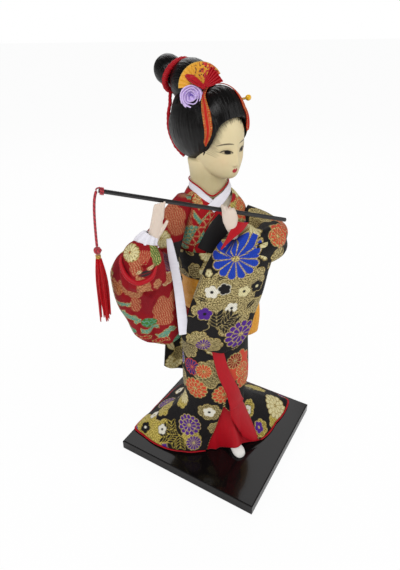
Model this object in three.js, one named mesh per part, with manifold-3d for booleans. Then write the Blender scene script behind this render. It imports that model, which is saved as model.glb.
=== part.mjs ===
// A standing doll in brocade kimono that holds a flute, on a square lacquered board.
// Millimetres, +Z up. The origin is the middle of the board's underside, and the doll faces -Y.
import * as THREE from "three";
import { mergeVertices } from "three/addons/utils/BufferGeometryUtils.js";
import Module from "manifold-3d";

const wasm = await Module();
wasm.setup();

// Clearances and cloth
const GAP = 0.3; // between pieces that lie against each other
const CLOTH = 1.2; // one layer of glued brocade
const TRIM = 0.8; // a collar band, a ribbon or a facing
const SLACK = 1.15; // between the padded trunk and the clothes glued over it

// Board
const BOARD_SIDE = 125;
const BOARD_THICK = 9.5;
const BOARD_EDGE = 0.9;

// Dowels and wires inside the clothes
const ROD_RADIUS = 3;
const ROD_SPACING = 15;
const ROD_IN_BOARD = 7;
const ROD_TOP = 150;
const WIRE_RADIUS = 1;

// Feet in white socks
const FOOT_LENGTH = 23;
const FOOT_WIDTH = 12;
const FOOT_HEIGHT = 9;

// Heights on the figure, above the board's underside
const FLOOR = BOARD_THICK + GAP;
const LINING_THICK = 1.2;
const KNEE = 62;
const NOTCH_TOP = 57;
const SKIRT_TOP = 146;
const PADDING_TOP = 119.7;
const SASH_BOTTOM = 147;
const OBI_BOTTOM = 173;
const OBI_TOP = 193.6;
const OBI_THICK = 1.6;
const SHOULDER = 226.7;
const onChest = (share) => OBI_TOP + share * (SHOULDER - OBI_TOP);
const WAIST_FOLD_HEIGHT = 9;

// Neck, on which the head turns
const NECK_X = -11;
const NECK_Y = 3;
const NECK_RADIUS = 11.3;
const NECK_FLARE = 12.4;
const NECK_TOP = SHOULDER + 23.3;
const PEG_RADIUS = 4;
const PEG_BOTTOM = SHOULDER - 20.7;
const PEG_TOP = SHOULDER + 12.3;

// Head: its middle, its turn towards the doll's left, its nod and its lean, in degrees
const HEAD_AT = [-7, -1, SHOULDER + 33.3];
const HEAD_TURN = 26.6;
const HEAD_NOD = 3.5;
const HEAD_LEAN = -1.5;

// Flute
const FLUTE_START = [-85, -40, 248.7];
const FLUTE_END = [27.4, -40, 220.3];
const FLUTE_RADIUS = 1.27;

// Tassel
const CORD_RADIUS = 0.8;
const KNOT_RADIUS = 2.5;
const WRAP_RADIUS = 1.6;
const WRAP_HEIGHT = 2.2;
const TASSEL_RADIUS = 3.7;
const TASSEL_LENGTH = 44;
const LOOP_WALL = 0.9;
const LOOP_WIDTH = 2.7;

// The figure under its clothes, from the hem to the neck: height, middle x and y, half width, half depth
const FIGURE = [
  [9.5, -6, -9, 23.5, 21.5],
  [30, -6.5, -8.5, 23.5, 20.5],
  [62, -7.3, -8, 24.3, 19.6],
  [75, -6.8, -7.8, 26.2, 20.4],
  [110, -7.2, -7, 25, 19.8],
  [140, -7.5, -6, 23.2, 18.6],
  [165, -8, -5, 22, 17.2],
  [185, -8.5, -4, 22.5, 16.6],
  [onChest(0.345), -9, -3, 23.6, 16],
  [onChest(0.707), -9.6, -0.6, 22.6, 14.9],
  [SHOULDER - 0.7, -10.4, 1.8, 17.4, 14],
  [SHOULDER + 4.3, -11, 3, 13.6, 13],
  [SHOULDER + 9.3, -11, 3, 12.2, 12.1],
  [SHOULDER + 18.3, -11, 3, 12, 12],
];

// The hem on the board, once round
const HEM = [
  [-74, 12], [-66, 2], [-54, -15], [-40, -24], [-27, -29], [-17, -29], [-4, -31],
  [12, -31], [30, -30], [50, -15], [74, 9], [60, 26], [42, 43], [24, 54],
  [8, 60], [-8, 60], [-24, 57], [-42, 43], [-60, 27],
];
const FLARE_POWER = 1.8;
// Folds of the train: angle in degrees, depth, width in degrees
const TRAIN_FOLDS = [[224, 6, 12], [342, 5, 10], [128, 5, 12], [92, 4, 9], [52, 5, 12]];

const mats = {
  lacquer: ["#101010", 0.15, 0],
  wood: ["#c9a86b", 0.7, 0],
  steel: ["#8a8d90", 0.4, 1],
  padding: ["#e8e2d4", 0.95, 0],
  skin: ["#ead9b4", 0.45, 0],
  sock: ["#f1eeea", 0.8, 0],
  hair: ["#161514", 0.5, 0],
  gold: ["#e0a020", 0.6, 0],
  lilac: ["#c8a8e8", 0.6, 0],
  red: ["#c01a28", 0.6, 0],
  white: ["#eeeef2", 0.6, 0],
  black: ["#242222", 0.7, 0],
  redBrocade: ["#b8202a", 0.6, 0],
  blackBrocade: ["#3a3226", 0.6, 0],
  goldBrocade: ["#a08a50", 0.6, 0],
  orange: ["#d08a18", 0.6, 0],
};
const finish = Object.fromEntries(
  Object.entries(mats).map(([name, [color, roughness, metalness]]) => [
    name,
    new THREE.MeshStandardMaterial({ name, color, roughness, metalness }),
  ]),
);

const rad = THREE.MathUtils.degToRad;
const lerp = THREE.MathUtils.lerp;
const vec = (x, y, z) => new THREE.Vector3(x, y, z);

// A closed solid from points and triangles, turned outwards
function solidFrom(points, triangles) {
  const volume = triangles.reduce((sum, [a, b, c]) => {
    return sum + points[a].dot(vec(0, 0, 0).crossVectors(points[b], points[c]));
  }, 0);
  const flat = volume < 0 ? triangles.map(([a, b, c]) => [a, c, b]) : triangles;
  return new wasm.Manifold(new wasm.Mesh({
    numProp: 3,
    vertProperties: Float32Array.from(points.flatMap((p) => p.toArray())),
    triVerts: Uint32Array.from(flat.flat()),
  }));
}

// A closed three.js geometry as a solid
function solidOf(geometry) {
  const bare = geometry.index ? geometry.toNonIndexed() : geometry.clone();
  ["normal", "uv"].forEach((name) => bare.deleteAttribute(name));
  const merged = mergeVertices(bare, 1e-4);
  const at = merged.attributes.position;
  const points = Array.from({ length: at.count }, (_, i) => vec().fromBufferAttribute(at, i));
  const triangles = [];
  for (let i = 0; i < merged.index.count; i += 3) {
    const [a, b, c] = merged.index.array.subarray(i, i + 3);
    if (a !== b && b !== c && c !== a) triangles.push([a, b, c]);
  }
  return solidFrom(points, triangles);
}

function geometryOf(solid) {
  const { numProp, vertProperties, triVerts } = solid.getMesh();
  const count = vertProperties.length / numProp;
  const at = new Float32Array(count * 3);
  for (let i = 0; i < count; i++) at.set(vertProperties.subarray(i * numProp, i * numProp + 3), i * 3);
  const geometry = new THREE.BufferGeometry();
  geometry.setAttribute("position", new THREE.BufferAttribute(at, 3));
  geometry.setIndex(new THREE.BufferAttribute(new Uint32Array(triVerts), 1));
  geometry.computeVertexNormals();
  return geometry;
}

// Rings of equal counts joined into one solid, with a fan over each end
function loft(rings) {
  const n = rings[0].length;
  const points = rings.flat();
  const triangles = [];
  for (let j = 0; j + 1 < rings.length; j++) {
    for (let i = 0; i < n; i++) {
      const [a, b] = [j * n + i, j * n + ((i + 1) % n)];
      triangles.push([a, b, b + n], [a, b + n, a + n]);
    }
  }
  [0, rings.length - 1].forEach((j) => {
    const middle = rings[j].reduce((sum, p) => sum.add(p), vec(0, 0, 0)).divideScalar(n);
    points.push(middle);
    for (let i = 0; i < n; i++) {
      const edge = [j * n + i, j * n + ((i + 1) % n)];
      triangles.push([points.length - 1, ...(j ? edge : edge.reverse())]);
    }
  });
  return solidFrom(points, triangles);
}

// A sheet with a wall: two grids of points, joined round their edges
function slab(outer, inner) {
  const [rows, cols] = [outer.length, outer[0].length];
  const points = [...outer.flat(), ...inner.flat()];
  const half = rows * cols;
  const at = (r, c) => r * cols + c;
  const triangles = [];
  const quad = (a, b, c, d) => triangles.push([a, b, c], [a, c, d]);
  for (let r = 0; r + 1 < rows; r++) {
    for (let c = 0; c + 1 < cols; c++) {
      const [a, b, d, e] = [at(r, c), at(r, c + 1), at(r + 1, c + 1), at(r + 1, c)];
      quad(a, b, d, e);
      quad(e + half, d + half, b + half, a + half);
    }
  }
  for (let c = 0; c + 1 < cols; c++) {
    quad(at(0, c + 1), at(0, c), at(0, c) + half, at(0, c + 1) + half);
    const last = rows - 1;
    quad(at(last, c), at(last, c + 1), at(last, c + 1) + half, at(last, c) + half);
  }
  for (let r = 0; r + 1 < rows; r++) {
    quad(at(r, 0), at(r + 1, 0), at(r + 1, 0) + half, at(r, 0) + half);
    const last = cols - 1;
    quad(at(r + 1, last), at(r, last), at(r, last) + half, at(r + 1, last) + half);
  }
  return solidFrom(points, triangles);
}

// The same solid with every face moved out by a distance
function grown(solid, distance) {
  const { numProp, vertProperties, triVerts } = solid.getMesh();
  const count = vertProperties.length / numProp;
  const points = Array.from({ length: count }, (_, i) => vec().fromArray(vertProperties, i * numProp));
  const triangles = [];
  for (let i = 0; i < triVerts.length; i += 3) triangles.push(Array.from(triVerts.subarray(i, i + 3)));
  const sums = points.map(() => vec(0, 0, 0));
  const faces = triangles.map(([a, b, c]) => {
    const normal = vec().crossVectors(points[b].clone().sub(points[a]), points[c].clone().sub(points[a]));
    [a, b, c].forEach((i) => sums[i].add(normal));
    return normal.normalize();
  });
  sums.forEach((sum) => sum.normalize());
  const least = points.map(() => 1);
  triangles.forEach((corners, f) => corners.forEach((i) => {
    least[i] = Math.min(least[i], sums[i].dot(faces[f]));
  }));
  const moved = points.map((p, i) => p.clone().addScaledVector(
    sums[i],
    distance / Math.max(least[i], 0.45),
  ));
  return solidFrom(moved, triangles);
}

// The largest piece of a solid less its neighbours, each with the clearance round it
function clear(solid, ...neighbours) {
  const cut = neighbours.reduce((rest, other) => rest.subtract(grown(other, GAP)), solid);
  return cut.decompose().reduce((a, b) => (a.volume() > b.volume() ? a : b));
}
const join = (...solids) => solids.reduce((a, b) => a.add(b));

// A smooth value between stations, without overshoot
function between(stations, at, column) {
  const last = stations.length - 1;
  if (at <= stations[0][0]) return stations[0][column];
  if (at >= stations[last][0]) return stations[last][column];
  const rise = (i) => stations[i + 1][column] - stations[i][column];
  const slope = (i) => rise(i) / (stations[i + 1][0] - stations[i][0]);
  const tangent = (i) => {
    if (i === 0) return slope(0);
    if (i === last) return slope(last - 1);
    const [before, after] = [slope(i - 1), slope(i)];
    return before * after <= 0 ? 0 : (2 * before * after) / (before + after);
  };
  const i = stations.findIndex((s, k) => k < last && at < stations[k + 1][0]);
  const h = stations[i + 1][0] - stations[i][0];
  const t = (at - stations[i][0]) / h;
  const [a, b] = [stations[i][column], stations[i + 1][column]];
  return a + (b - a) * t * t * (3 - 2 * t)
    + h * tangent(i) * t * (1 - t) * (1 - t) - h * tangent(i + 1) * t * t * (1 - t);
}

// Distance of the hem from the legs' axis at an angle in radians
function hemReach(angle) {
  const [, x, y] = FIGURE[0];
  const polar = HEM.map(([hx, hy]) => {
    const turn = Math.atan2(hy - y, hx - x);
    return [(turn + 2 * Math.PI) % (2 * Math.PI), Math.hypot(hx - x, hy - y)];
  }).sort((a, b) => a[0] - b[0]);
  const at = (angle + 4 * Math.PI) % (2 * Math.PI);
  const next = polar.findIndex(([turn]) => turn > at);
  const [b, a] = next < 1
    ? [polar[0], polar[polar.length - 1]]
    : [polar[next], polar[next - 1]];
  const wrap = (turn) => (turn + 2 * Math.PI) % (2 * Math.PI);
  return lerp(a[1], b[1], wrap(at - a[0]) / wrap(b[0] - a[0]));
}

// A point of the legs or trunk, at an angle in radians from +X and a height
function trunkPoint(angle, z) {
  const [x, y, rx, ry] = [1, 2, 3, 4].map((column) => between(FIGURE, z, column));
  return vec(x + rx * Math.cos(angle), y + ry * Math.sin(angle), z);
}

// The same with the train: below the knee it spreads from the legs to the hem, with its folds
function dressPoint(angle, z) {
  const point = trunkPoint(angle, z);
  if (z >= KNEE) return point;
  const [x, y] = [1, 2].map((column) => between(FIGURE, z, column));
  const [dx, dy] = [point.x - x, point.y - y];
  const from = Math.hypot(dx, dy);
  const down = Math.min((KNEE - z) / (KNEE - FLOOR), 1);
  const turn = Math.atan2(dy, dx);
  const folds = TRAIN_FOLDS.reduce((sum, [at, depth, width]) => {
    const off = Math.atan2(Math.sin(turn - rad(at)), Math.cos(turn - rad(at))) / rad(width);
    return sum + depth * Math.exp(-off * off);
  }, 0);
  const reach = Math.max(hemReach(turn) - from, 0) * down ** FLARE_POWER - folds * 4 * down * (1 - down);
  const scale = Math.max(from + reach, from) / from;
  return vec(x + dx * scale, y + dy * scale, z);
}

// A surface moved out along its own normal
function outFrom(surface, angle, z, out) {
  const [da, dz] = [1e-3, 0.05];
  const along = surface(angle + da, z).sub(surface(angle - da, z));
  const up = surface(angle, z + dz).sub(surface(angle, z - dz));
  return surface(angle, z).addScaledVector(along.cross(up).normalize(), out);
}
const onDress = (angle, z, out) => outFrom(dressPoint, angle, z, out);
const onTrunk = (angle, z, out) => outFrom(trunkPoint, angle, z, out);

// A solid between two heights whose wall stands out from a surface
function trunkSolid(surface, out, heights, n) {
  return loft(heights.map((z) => Array.from({ length: n }, (_, i) => {
    const p = surface((2 * Math.PI * i) / n, z, out);
    return vec(p.x, p.y, z);
  })));
}

const steps = (from, to, count) => Array.from({ length: count + 1 }, (_, i) => lerp(from, to, i / count));

// A piece of cloth on the figure: place(u, v) gives its angle in degrees and its height
function cloth(place, inner, outer, nu, nv) {
  const grid = (out) => steps(0, 1, nv).map((v) => steps(0, 1, nu).map((u) => {
    const [angle, z] = place(u, v);
    return onDress(rad(angle), z, out);
  }));
  return slab(grid(outer), grid(inner));
}

// A smooth run through stations of any number of columns
function along(stations, t) {
  const keyed = stations.map((s, i) => [i / (stations.length - 1), ...s]);
  return stations[0].map((_, column) => between(keyed, t, column + 1));
}

// A band of cloth along a line of [angle, height, width] on the figure
function band(line, inner, outer, nu) {
  const d = 1e-3;
  const place = (u, v) => {
    const [a, z, width] = along(line, u);
    const [before, after] = [along(line, Math.max(u - d, 0)), along(line, Math.min(u + d, 1))];
    const run = onDress(rad(after[0]), after[1], 0).sub(onDress(rad(before[0]), before[1], 0)).normalize();
    const perDegree = onDress(rad(a + 0.5), z, 0).sub(onDress(rad(a - 0.5), z, 0));
    const perMm = onDress(rad(a), z + 0.5, 0).sub(onDress(rad(a), z - 0.5, 0));
    const normal = perDegree.clone().cross(perMm).normalize();
    const across = normal.cross(run).multiplyScalar(width * (v - 0.5));
    // Solve across = s * perDegree + t * perMm in the surface
    const [aa, ab, bb] = [perDegree.dot(perDegree), perDegree.dot(perMm), perMm.dot(perMm)];
    const [pa, pb] = [across.dot(perDegree), across.dot(perMm)];
    const det = aa * bb - ab * ab;
    return [a + (pa * bb - pb * ab) / det, z + (pb * aa - pa * ab) / det];
  };
  return cloth(place, inner, outer, nu, 2);
}

// A tube of an even radius along points
function tube(points, radius, sides, count) {
  const curve = new THREE.CatmullRomCurve3(points.map((p) => vec(...p)), false, "centripetal");
  return solidOf(new THREE.ExtrudeGeometry(circle(radius, sides), { steps: count, extrudePath: curve }));
}

function circle(radius, sides) {
  return new THREE.Shape(steps(0, 2 * Math.PI, sides).slice(0, -1).map((a) => {
    return new THREE.Vector2(radius * Math.cos(a), radius * Math.sin(a));
  }));
}

// A solid of revolution about an upright axis, from [radius, height] pairs
function turned(profile, x, y, sides) {
  const geometry = new THREE.LatheGeometry(profile.map(([r, z]) => new THREE.Vector2(r, z)), sides);
  geometry.rotateX(Math.PI / 2);
  geometry.translate(x, y, 0);
  return solidOf(geometry);
}

// A limb through stations of [x, y, z, half width, half depth], square to its own run
function limb(stations, sides, count, wide = vec(0, 0, 1)) {
  const d = 1e-3;
  return loft(steps(0, 1, count).map((t) => {
    const [x, y, z, w, h] = along(stations, t);
    const ahead = along(stations, Math.min(t + d, 1));
    const behind = along(stations, Math.max(t - d, 0));
    const run = vec(ahead[0] - behind[0], ahead[1] - behind[1], ahead[2] - behind[2]).normalize();
    const u = vec().crossVectors(run, wide).normalize();
    const v = vec().crossVectors(u, run);
    return Array.from({ length: sides }, (_, i) => {
      const a = (2 * Math.PI * i) / sides;
      return vec(x, y, z).addScaledVector(u, h * Math.cos(a)).addScaledVector(v, w * Math.sin(a));
    });
  }));
}

// A hanging sleeve: level sections of [height, left, right, middle y, half depth], with folds on its faces
function hanging(stations, sides, count, folds, foldDepth) {
  const [bottom, top] = [stations[0][0], stations[stations.length - 1][0]];
  return loft(steps(bottom, top, count).map((z) => {
    const [left, right, y, depth] = [1, 2, 3, 4].map((column) => between(stations, z, column));
    const hang = 1 - (z - bottom) / (top - bottom);
    return Array.from({ length: sides }, (_, i) => {
      const a = (2 * Math.PI * i) / sides;
      const fold = foldDepth * hang * Math.cos(folds * a) * Math.abs(Math.sin(a));
      const flat = Math.sign(Math.sin(a)) * Math.abs(Math.sin(a)) ** 0.75;
      return vec((left + right) / 2 + ((right - left) / 2) * Math.cos(a), y + (depth + fold) * flat, z);
    });
  }));
}

function ball([x, y, z], [rx, ry, rz], around = 16, rings = 10) {
  const geometry = new THREE.SphereGeometry(1, around, rings);
  geometry.rotateX(Math.PI / 2);
  geometry.scale(rx, ry, rz);
  geometry.translate(x, y, z);
  return solidOf(geometry);
}

function part(group, name, solid, material) {
  const mesh = new THREE.Mesh(geometryOf(solid), finish[material]);
  mesh.name = name;
  group.add(mesh);
  return solid;
}

const doll = new THREE.Group();
const stand = new THREE.Group();
const headGroup = new THREE.Group();
headGroup.position.set(...HEAD_AT);
headGroup.rotation.set(rad(HEAD_NOD), rad(HEAD_LEAN), rad(HEAD_TURN), "ZXY");
headGroup.updateMatrix();
const tasselLoop = new THREE.Group();
const tassel = new THREE.Group();
doll.add(stand, headGroup, tasselLoop, tassel);

// Dowels from the board up into the trunk
const legsX = FIGURE[1][1];
const legsY = FIGURE[1][2];
const rods = [-1, 1].map((side) => turned(
  [
    [0, BOARD_THICK - ROD_IN_BOARD],
    [ROD_RADIUS, BOARD_THICK - ROD_IN_BOARD],
    [ROD_RADIUS, ROD_TOP],
    [0, ROD_TOP],
  ],
  legsX + (side * ROD_SPACING) / 2, legsY + 2, 8,
));

// Board, standing on one corner towards the front, with its edges eased
function boardSolid() {
  const half = BOARD_SIDE / 2 - BOARD_EDGE;
  const outline = new THREE.Shape([[-1, -1], [1, -1], [1, 1], [-1, 1]].map(([x, y]) => {
    return new THREE.Vector2(x * half, y * half);
  }));
  const geometry = new THREE.ExtrudeGeometry(outline, {
    depth: BOARD_THICK - 2 * BOARD_EDGE,
    bevelThickness: BOARD_EDGE,
    bevelSize: BOARD_EDGE,
    bevelSegments: 2,
  });
  geometry.translate(0, 0, BOARD_EDGE);
  geometry.rotateZ(Math.PI / 4);
  return solidOf(geometry);
}
part(stand, "base_board", clear(boardSolid(), ...rods), "lacquer");
["right", "left"].forEach((side, i) => part(stand, `leg_rod_${side}`, rods[i], "wood"));

// Feet: the left one shows under the hem, the right one stands back
function footSolid(heelX, heelY, turn) {
  const shape = [
    [0, 0.62, 0.5], [0.12, 0.9, 0.95], [0.45, 0.82, 1], [0.75, 1, 0.78], [0.93, 0.72, 0.6], [1, 0.3, 0.42],
  ];
  const foot = loft(steps(0, 1, 7).map((t) => {
    const [w, h] = [1, 2].map((column) => between(shape, t, column));
    return Array.from({ length: 10 }, (_, i) => {
      const a = (2 * Math.PI * i) / 10;
      const up = Math.max(Math.sin(a) * 0.62 + 0.38, 0);
      return vec((w * FOOT_WIDTH * Math.cos(a)) / 2, -t * FOOT_LENGTH, FLOOR + h * FOOT_HEIGHT * up);
    }).map((p) => p.applyAxisAngle(vec(0, 0, 1), rad(turn)).add(vec(heelX, heelY, 0)));
  }));
  return foot;
}
const feetRaw = [
  footSolid(legsX - ROD_SPACING / 2, legsY + 9, -4),
  footSolid(legsX + ROD_SPACING / 2 + 2, legsY - 13.5, 12),
];
const feet = feetRaw.map((foot) => clear(foot, ...rods));
["right", "left"].forEach((side, i) => part(stand, `foot_${side}`, feet[i], "sock"));

// Stuffing round the dowels, and the trunk above it with the socket for the neck's peg
const legOut = -CLOTH - GAP;
const levels = (low, high, shares) => shares.map((share) => lerp(low, high, share));
const legLevels = levels(FLOOR, NOTCH_TOP, [0, 0.43, 1]);
const waistLevels = levels(KNEE, PADDING_TOP, [0.07, 0.31, 0.66]);
const paddingRaw = trunkSolid((a, z, out) => (z < KNEE ? onTrunk(a, z, legOut) : onTrunk(a, z, out)), -GAP,
  [...legLevels, ...waistLevels, PADDING_TOP], 20);
part(stand, "skirt_padding", clear(paddingRaw, ...rods, ...feetRaw), "padding");
const peg = turned(
  [[0, PEG_BOTTOM], [PEG_RADIUS, PEG_BOTTOM], [PEG_RADIUS, PEG_TOP], [0, PEG_TOP]], NECK_X, NECK_Y, 10,
);
const trunkRaw = trunkSolid(onTrunk, -SLACK,
  [PADDING_TOP + GAP, ...levels(PADDING_TOP, OBI_TOP, [0.28, 0.61, 0.88]),
    ...levels(OBI_TOP, SHOULDER, [0.35, 0.65, 0.83, 1])], 20);

// Wires in the arms: from the trunk's shoulder to the wrist
const ARM_RIGHT = [
  [-24, -2, SHOULDER - 14.7], [-44, -8, 207], [-64, -20, 198], [-64, -33, 203], [-58, -38, 213],
];
const ARM_LEFT = [[5, -2, SHOULDER - 17.7], [24, -6, 206], [32, -20, 202], [16, -33, 206], [1, -39, 212]];
const wires = [ARM_RIGHT, ARM_LEFT].map((route) => tube(route, WIRE_RADIUS, 6, 10));
part(stand, "torso_core", clear(trunkRaw, ...rods, peg, ...wires), "padding");
["right", "left"].forEach((side, i) => part(stand, `arm_wire_${side}`, wires[i], "steel"));

// Flute
function rodBetween(from, to, radius, sides) {
  const [a, b] = [vec(...from), vec(...to)];
  const geometry = new THREE.CylinderGeometry(radius, radius, a.distanceTo(b), sides);
  const turn = new THREE.Quaternion().setFromUnitVectors(vec(0, 1, 0), b.clone().sub(a).normalize());
  geometry.applyQuaternion(turn);
  geometry.translate(...a.clone().add(b).divideScalar(2).toArray());
  return solidOf(geometry);
}
const flute = part(stand, "flute", rodBetween(FLUTE_START, FLUTE_END, FLUTE_RADIUS, 12), "lacquer");

// Hands: a palm, four fingers and a thumb, round the flute
function handSolid(palm, fingers, thumb, wide) {
  const tips = fingers.map((route) => limb(route, 5, 2, wide));
  return join(limb(palm, 8, 3, wide), ...tips, limb(thumb, 5, 2, wide));
}
const finger = (from, middle, to, r) => [
  [...from, r, r], [...middle, r * 0.95, r * 0.95], [...to, r * 0.6, r * 0.6],
];
const fromKnuckles = (from, middle, to, radius) => [0, 1, 2, 3].map((i) => {
  const at = ([x, y, z, across, up]) => [x + across * i, y, z + up * i];
  return finger(at(from), at(middle), at(to), radius);
});
const handRight = handSolid(
  [
    [-58.6, -38.4, 214.6, 3.6, 2.6], [-57.4, -39, 219, 3.8, 2.5], [-55.4, -40, 225, 4.6, 2.5],
    [-53.6, -40.8, 231, 4.4, 2],
  ],
  fromKnuckles(
    [-56.8, -40.6, 229.6, 2.1, -0.4], [-55.4, -41.6, 235, 1.9, -0.4], [-54.2, -41.2, 240.6, 1.7, -0.6], 1.15,
  ),
  finger([-55.5, -39.6, 219.5], [-51.6, -40.6, 224.5], [-49.6, -41.2, 229], 1.25),
  vec(0, -1, 0.2),
);
const handLeft = handSolid(
  [
    [0.6, -39.2, 211.4, 3.6, 2.8], [-2, -40, 215.5, 4, 2.8], [-5.8, -41.2, 221.5, 5, 2.7],
    [-9.2, -42.4, 227, 4.6, 2.2],
  ],
  fromKnuckles(
    [-11.8, -42.4, 225.5, 2.1, 0.3], [-14, -43.3, 229.6, 2.1, 0.3], [-15.4, -41.6, 233.6, 2.3, -0.4], 1.2,
  ),
  finger([-5, -40.6, 220], [-6.2, -42.6, 226], [-8.6, -41.4, 232], 1.3),
  vec(0, -1, 0.2),
);
const hands = [handRight, handLeft].map((hand, i) => clear(hand, flute, wires[i]));
["right", "left"].forEach((side, i) => part(stand, `hand_${side}`, hands[i], "skin"));

// Underskirt, brocade skirt with its train and the V in front, hem lining and the red band beside the V
const underskirtRaw = trunkSolid(onTrunk, 0, legLevels, 20);
const trainLevels = levels(FLOOR, KNEE, [0.12, 0.25, 0.43, 0.66, 1]);
const NOTCH = [[-5.5, NOTCH_TOP], [-20.5, FLOOR - 1], [29, FLOOR - 1]];
function notchSolid(smaller) {
  const [top, left, right] = NOTCH;
  const shape = new THREE.Shape([
    new THREE.Vector2(top[0], top[1] - 3 * smaller),
    new THREE.Vector2(left[0] + 2 * smaller, left[1]),
    new THREE.Vector2(right[0] - 2 * smaller, right[1]),
  ]);
  return solidOf(new THREE.ExtrudeGeometry(shape, { depth: 40, bevelEnabled: false })
    .rotateX(Math.PI / 2).translate(0, -22, 0));
}
const notch = notchSolid(0);
const satin = trunkSolid(onDress, -0.4, [FLOOR, ...trainLevels], 28).intersect(notchSolid(GAP + 0.1));
part(stand, "underskirt", clear(join(underskirtRaw, satin), paddingRaw, ...feetRaw), "red");
const hemOut = (a, z) => onDress(a, FLOOR + 0.5, 0).setZ(z);
const liningTop = FLOOR + LINING_THICK;
const lining = trunkSolid((a, z) => hemOut(a, z), 0, [FLOOR, liningTop], 52).subtract(notch);
part(stand, "hem_lining", clear(lining, underskirtRaw), "red");
const skirtRaw = trunkSolid(onDress, CLOTH,
  [liningTop + GAP, ...trainLevels, ...levels(KNEE, SKIRT_TOP, [0.21, 0.57, 1])], 52).subtract(notch);
const inside = trunkSolid(onTrunk, 0,
  [FLOOR - 1, ...legLevels.slice(1), ...waistLevels, PADDING_TOP, SKIRT_TOP + 1], 20);
part(stand, "skirt", clear(skirtRaw, inside, ...feetRaw), "blackBrocade");
const bandIn = CLOTH + 4 * GAP;
part(stand, "front_band", band(
  [
    [259, 112, 8.5], [268, 94, 9], [284, 75, 10], [298, 60, 12], [307, 44, 15], [315, 29, 14],
    [321.5, 18, 7],
  ],
  bandIn, bandIn + TRIM, 14), "red");

// Bodice: two fronts that cross, cut away for the neck
const CROSSING = [
  [SKIRT_TOP, 236], [OBI_TOP - 7.6, 240],
  ...[[0.1, 250], [0.405, 264], [0.616, 277], [0.828, 288]].map(([share, angle]) => [onChest(share), angle]),
];
const crossing = (z) => between(CROSSING, z, 1);
// Tops and bands: how far along or at which angle, height from the shoulder, then the band's width
const fromShoulder = (rows) => rows.map(([first, up, ...width]) => [first, SHOULDER + up, ...width]);
const RIGHT_TOP = fromShoulder([[0, 4.8], [0.55, 4.8], [0.72, 2.8], [0.84, -0.7], [0.93, -4.7], [1, -8.2]]);
const LEFT_TOP = fromShoulder([[0, 4.8], [0.5, 4.8], [0.68, 2.3], [0.85, -0.7], [1, -5.7]]);
const bodiceBottom = SKIRT_TOP + GAP;
function front(back, top, side) {
  return cloth((u, v) => {
    const z = lerp(bodiceBottom, between(top, u, 1), v);
    return [lerp(back, crossing(z) + side, u), z];
  }, 0, CLOTH, 12, 8);
}
const bodices = [front(91, RIGHT_TOP, -1), front(449, LEFT_TOP, 1)];

// Collars: two white bands that cross in front, with a red piping inside them
const under = CLOTH + GAP;
const over = under + TRIM + GAP;
const innerRight = fromShoulder([
  [93, 7.6, 4], [150, 7.8, 4], [200, 7.3, 4.2], [222, 5.5, 4.4], [245, 1.9, 4.6], [262, -2.3, 4.6],
  [271, -4.5, 4.6],
]);
const innerLeft = fromShoulder([
  [447, 7.6, 4], [392, 7.8, 4], [345, 6.9, 4.2], [314, 4.7, 4.4], [290, 2.1, 4.6], [272, -0.9, 4.6],
  [258, -4.1, 4.6],
]);
const collars = [band(innerRight, 0, TRIM, 12), band(innerLeft, TRIM + GAP, 2 * TRIM + GAP, 12)];
["right", "left"].forEach((side, i) => {
  part(stand, `collar_inner_${side}`, collars[i], "white");
  part(stand, `bodice_${side}`, clear(bodices[i], wires[i], ...collars), i ? "goldBrocade" : "redBrocade");
});
const pipingRoute = fromShoulder([
  [93, 10.5], [130, 10.7], [170, 10.7], [205, 9.9], [228, 7.9], [248, 4.9], [265.7, 2.7],
  [286, 5.1], [312, 7.7], [340, 9.7], [378, 10.6], [420, 10.7], [447, 10.5],
]);
const PIPING_RADIUS = 0.5;
part(
  stand,
  "collar_piping",
  tube(pipingRoute.map(([a, z]) => onTrunk(rad(a), z, GAP + TRIM).toArray()), PIPING_RADIUS, 5, 20),
  "red",
);
const alongChest = (rows) => rows.map(([angle, share, width]) => [angle, onChest(share), width]);
const outerCollar = alongChest([
  [282, 0.616, 13.4], [271, 0.507, 13.2], [257, 0.3, 12.4], [245, 0.036, 11.8],
]);
const redCollar = alongChest([[261, 0.785, 3], [248, 0.616, 4], [234, 0.386, 4.2], [221, 0.133, 4.2]]);
part(stand, "collar_outer", band(outerCollar, under, under + TRIM, 8), "black");
part(stand, "collar_strip", band(redCollar, under, under + TRIM, 8), "redBrocade");

// Obi and sash round the waist
const BACK_SEAM = 90;
const ringOf = (low, high, inner, outer) => {
  const place = (u, v) => [lerp(BACK_SEAM + 1, BACK_SEAM + 359, u), lerp(low, high, v)];
  return cloth(place, inner, outer, 20, 1);
};
const obiOut = over + OBI_THICK;
const obi = part(stand, "obi", ringOf(OBI_BOTTOM + GAP, OBI_TOP, over, obiOut), "blackBrocade");
const sash = part(stand, "obi_sash", ringOf(SASH_BOTTOM, OBI_BOTTOM, under, over + GAP), "orange");
const foldTop = SASH_BOTTOM - GAP;
part(stand, "waist_fold", ringOf(foldTop - WAIST_FOLD_HEIGHT, foldTop, over - TRIM, over), "red");

// The flap of the obi that is folded over its front
const flapMiddle = [[262, 187, 9], [252, 182, 9], [240, 177, 9]];
part(stand, "obi_flap", band(flapMiddle, obiOut + GAP, obiOut + GAP + TRIM, 6), "goldBrocade");

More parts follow.
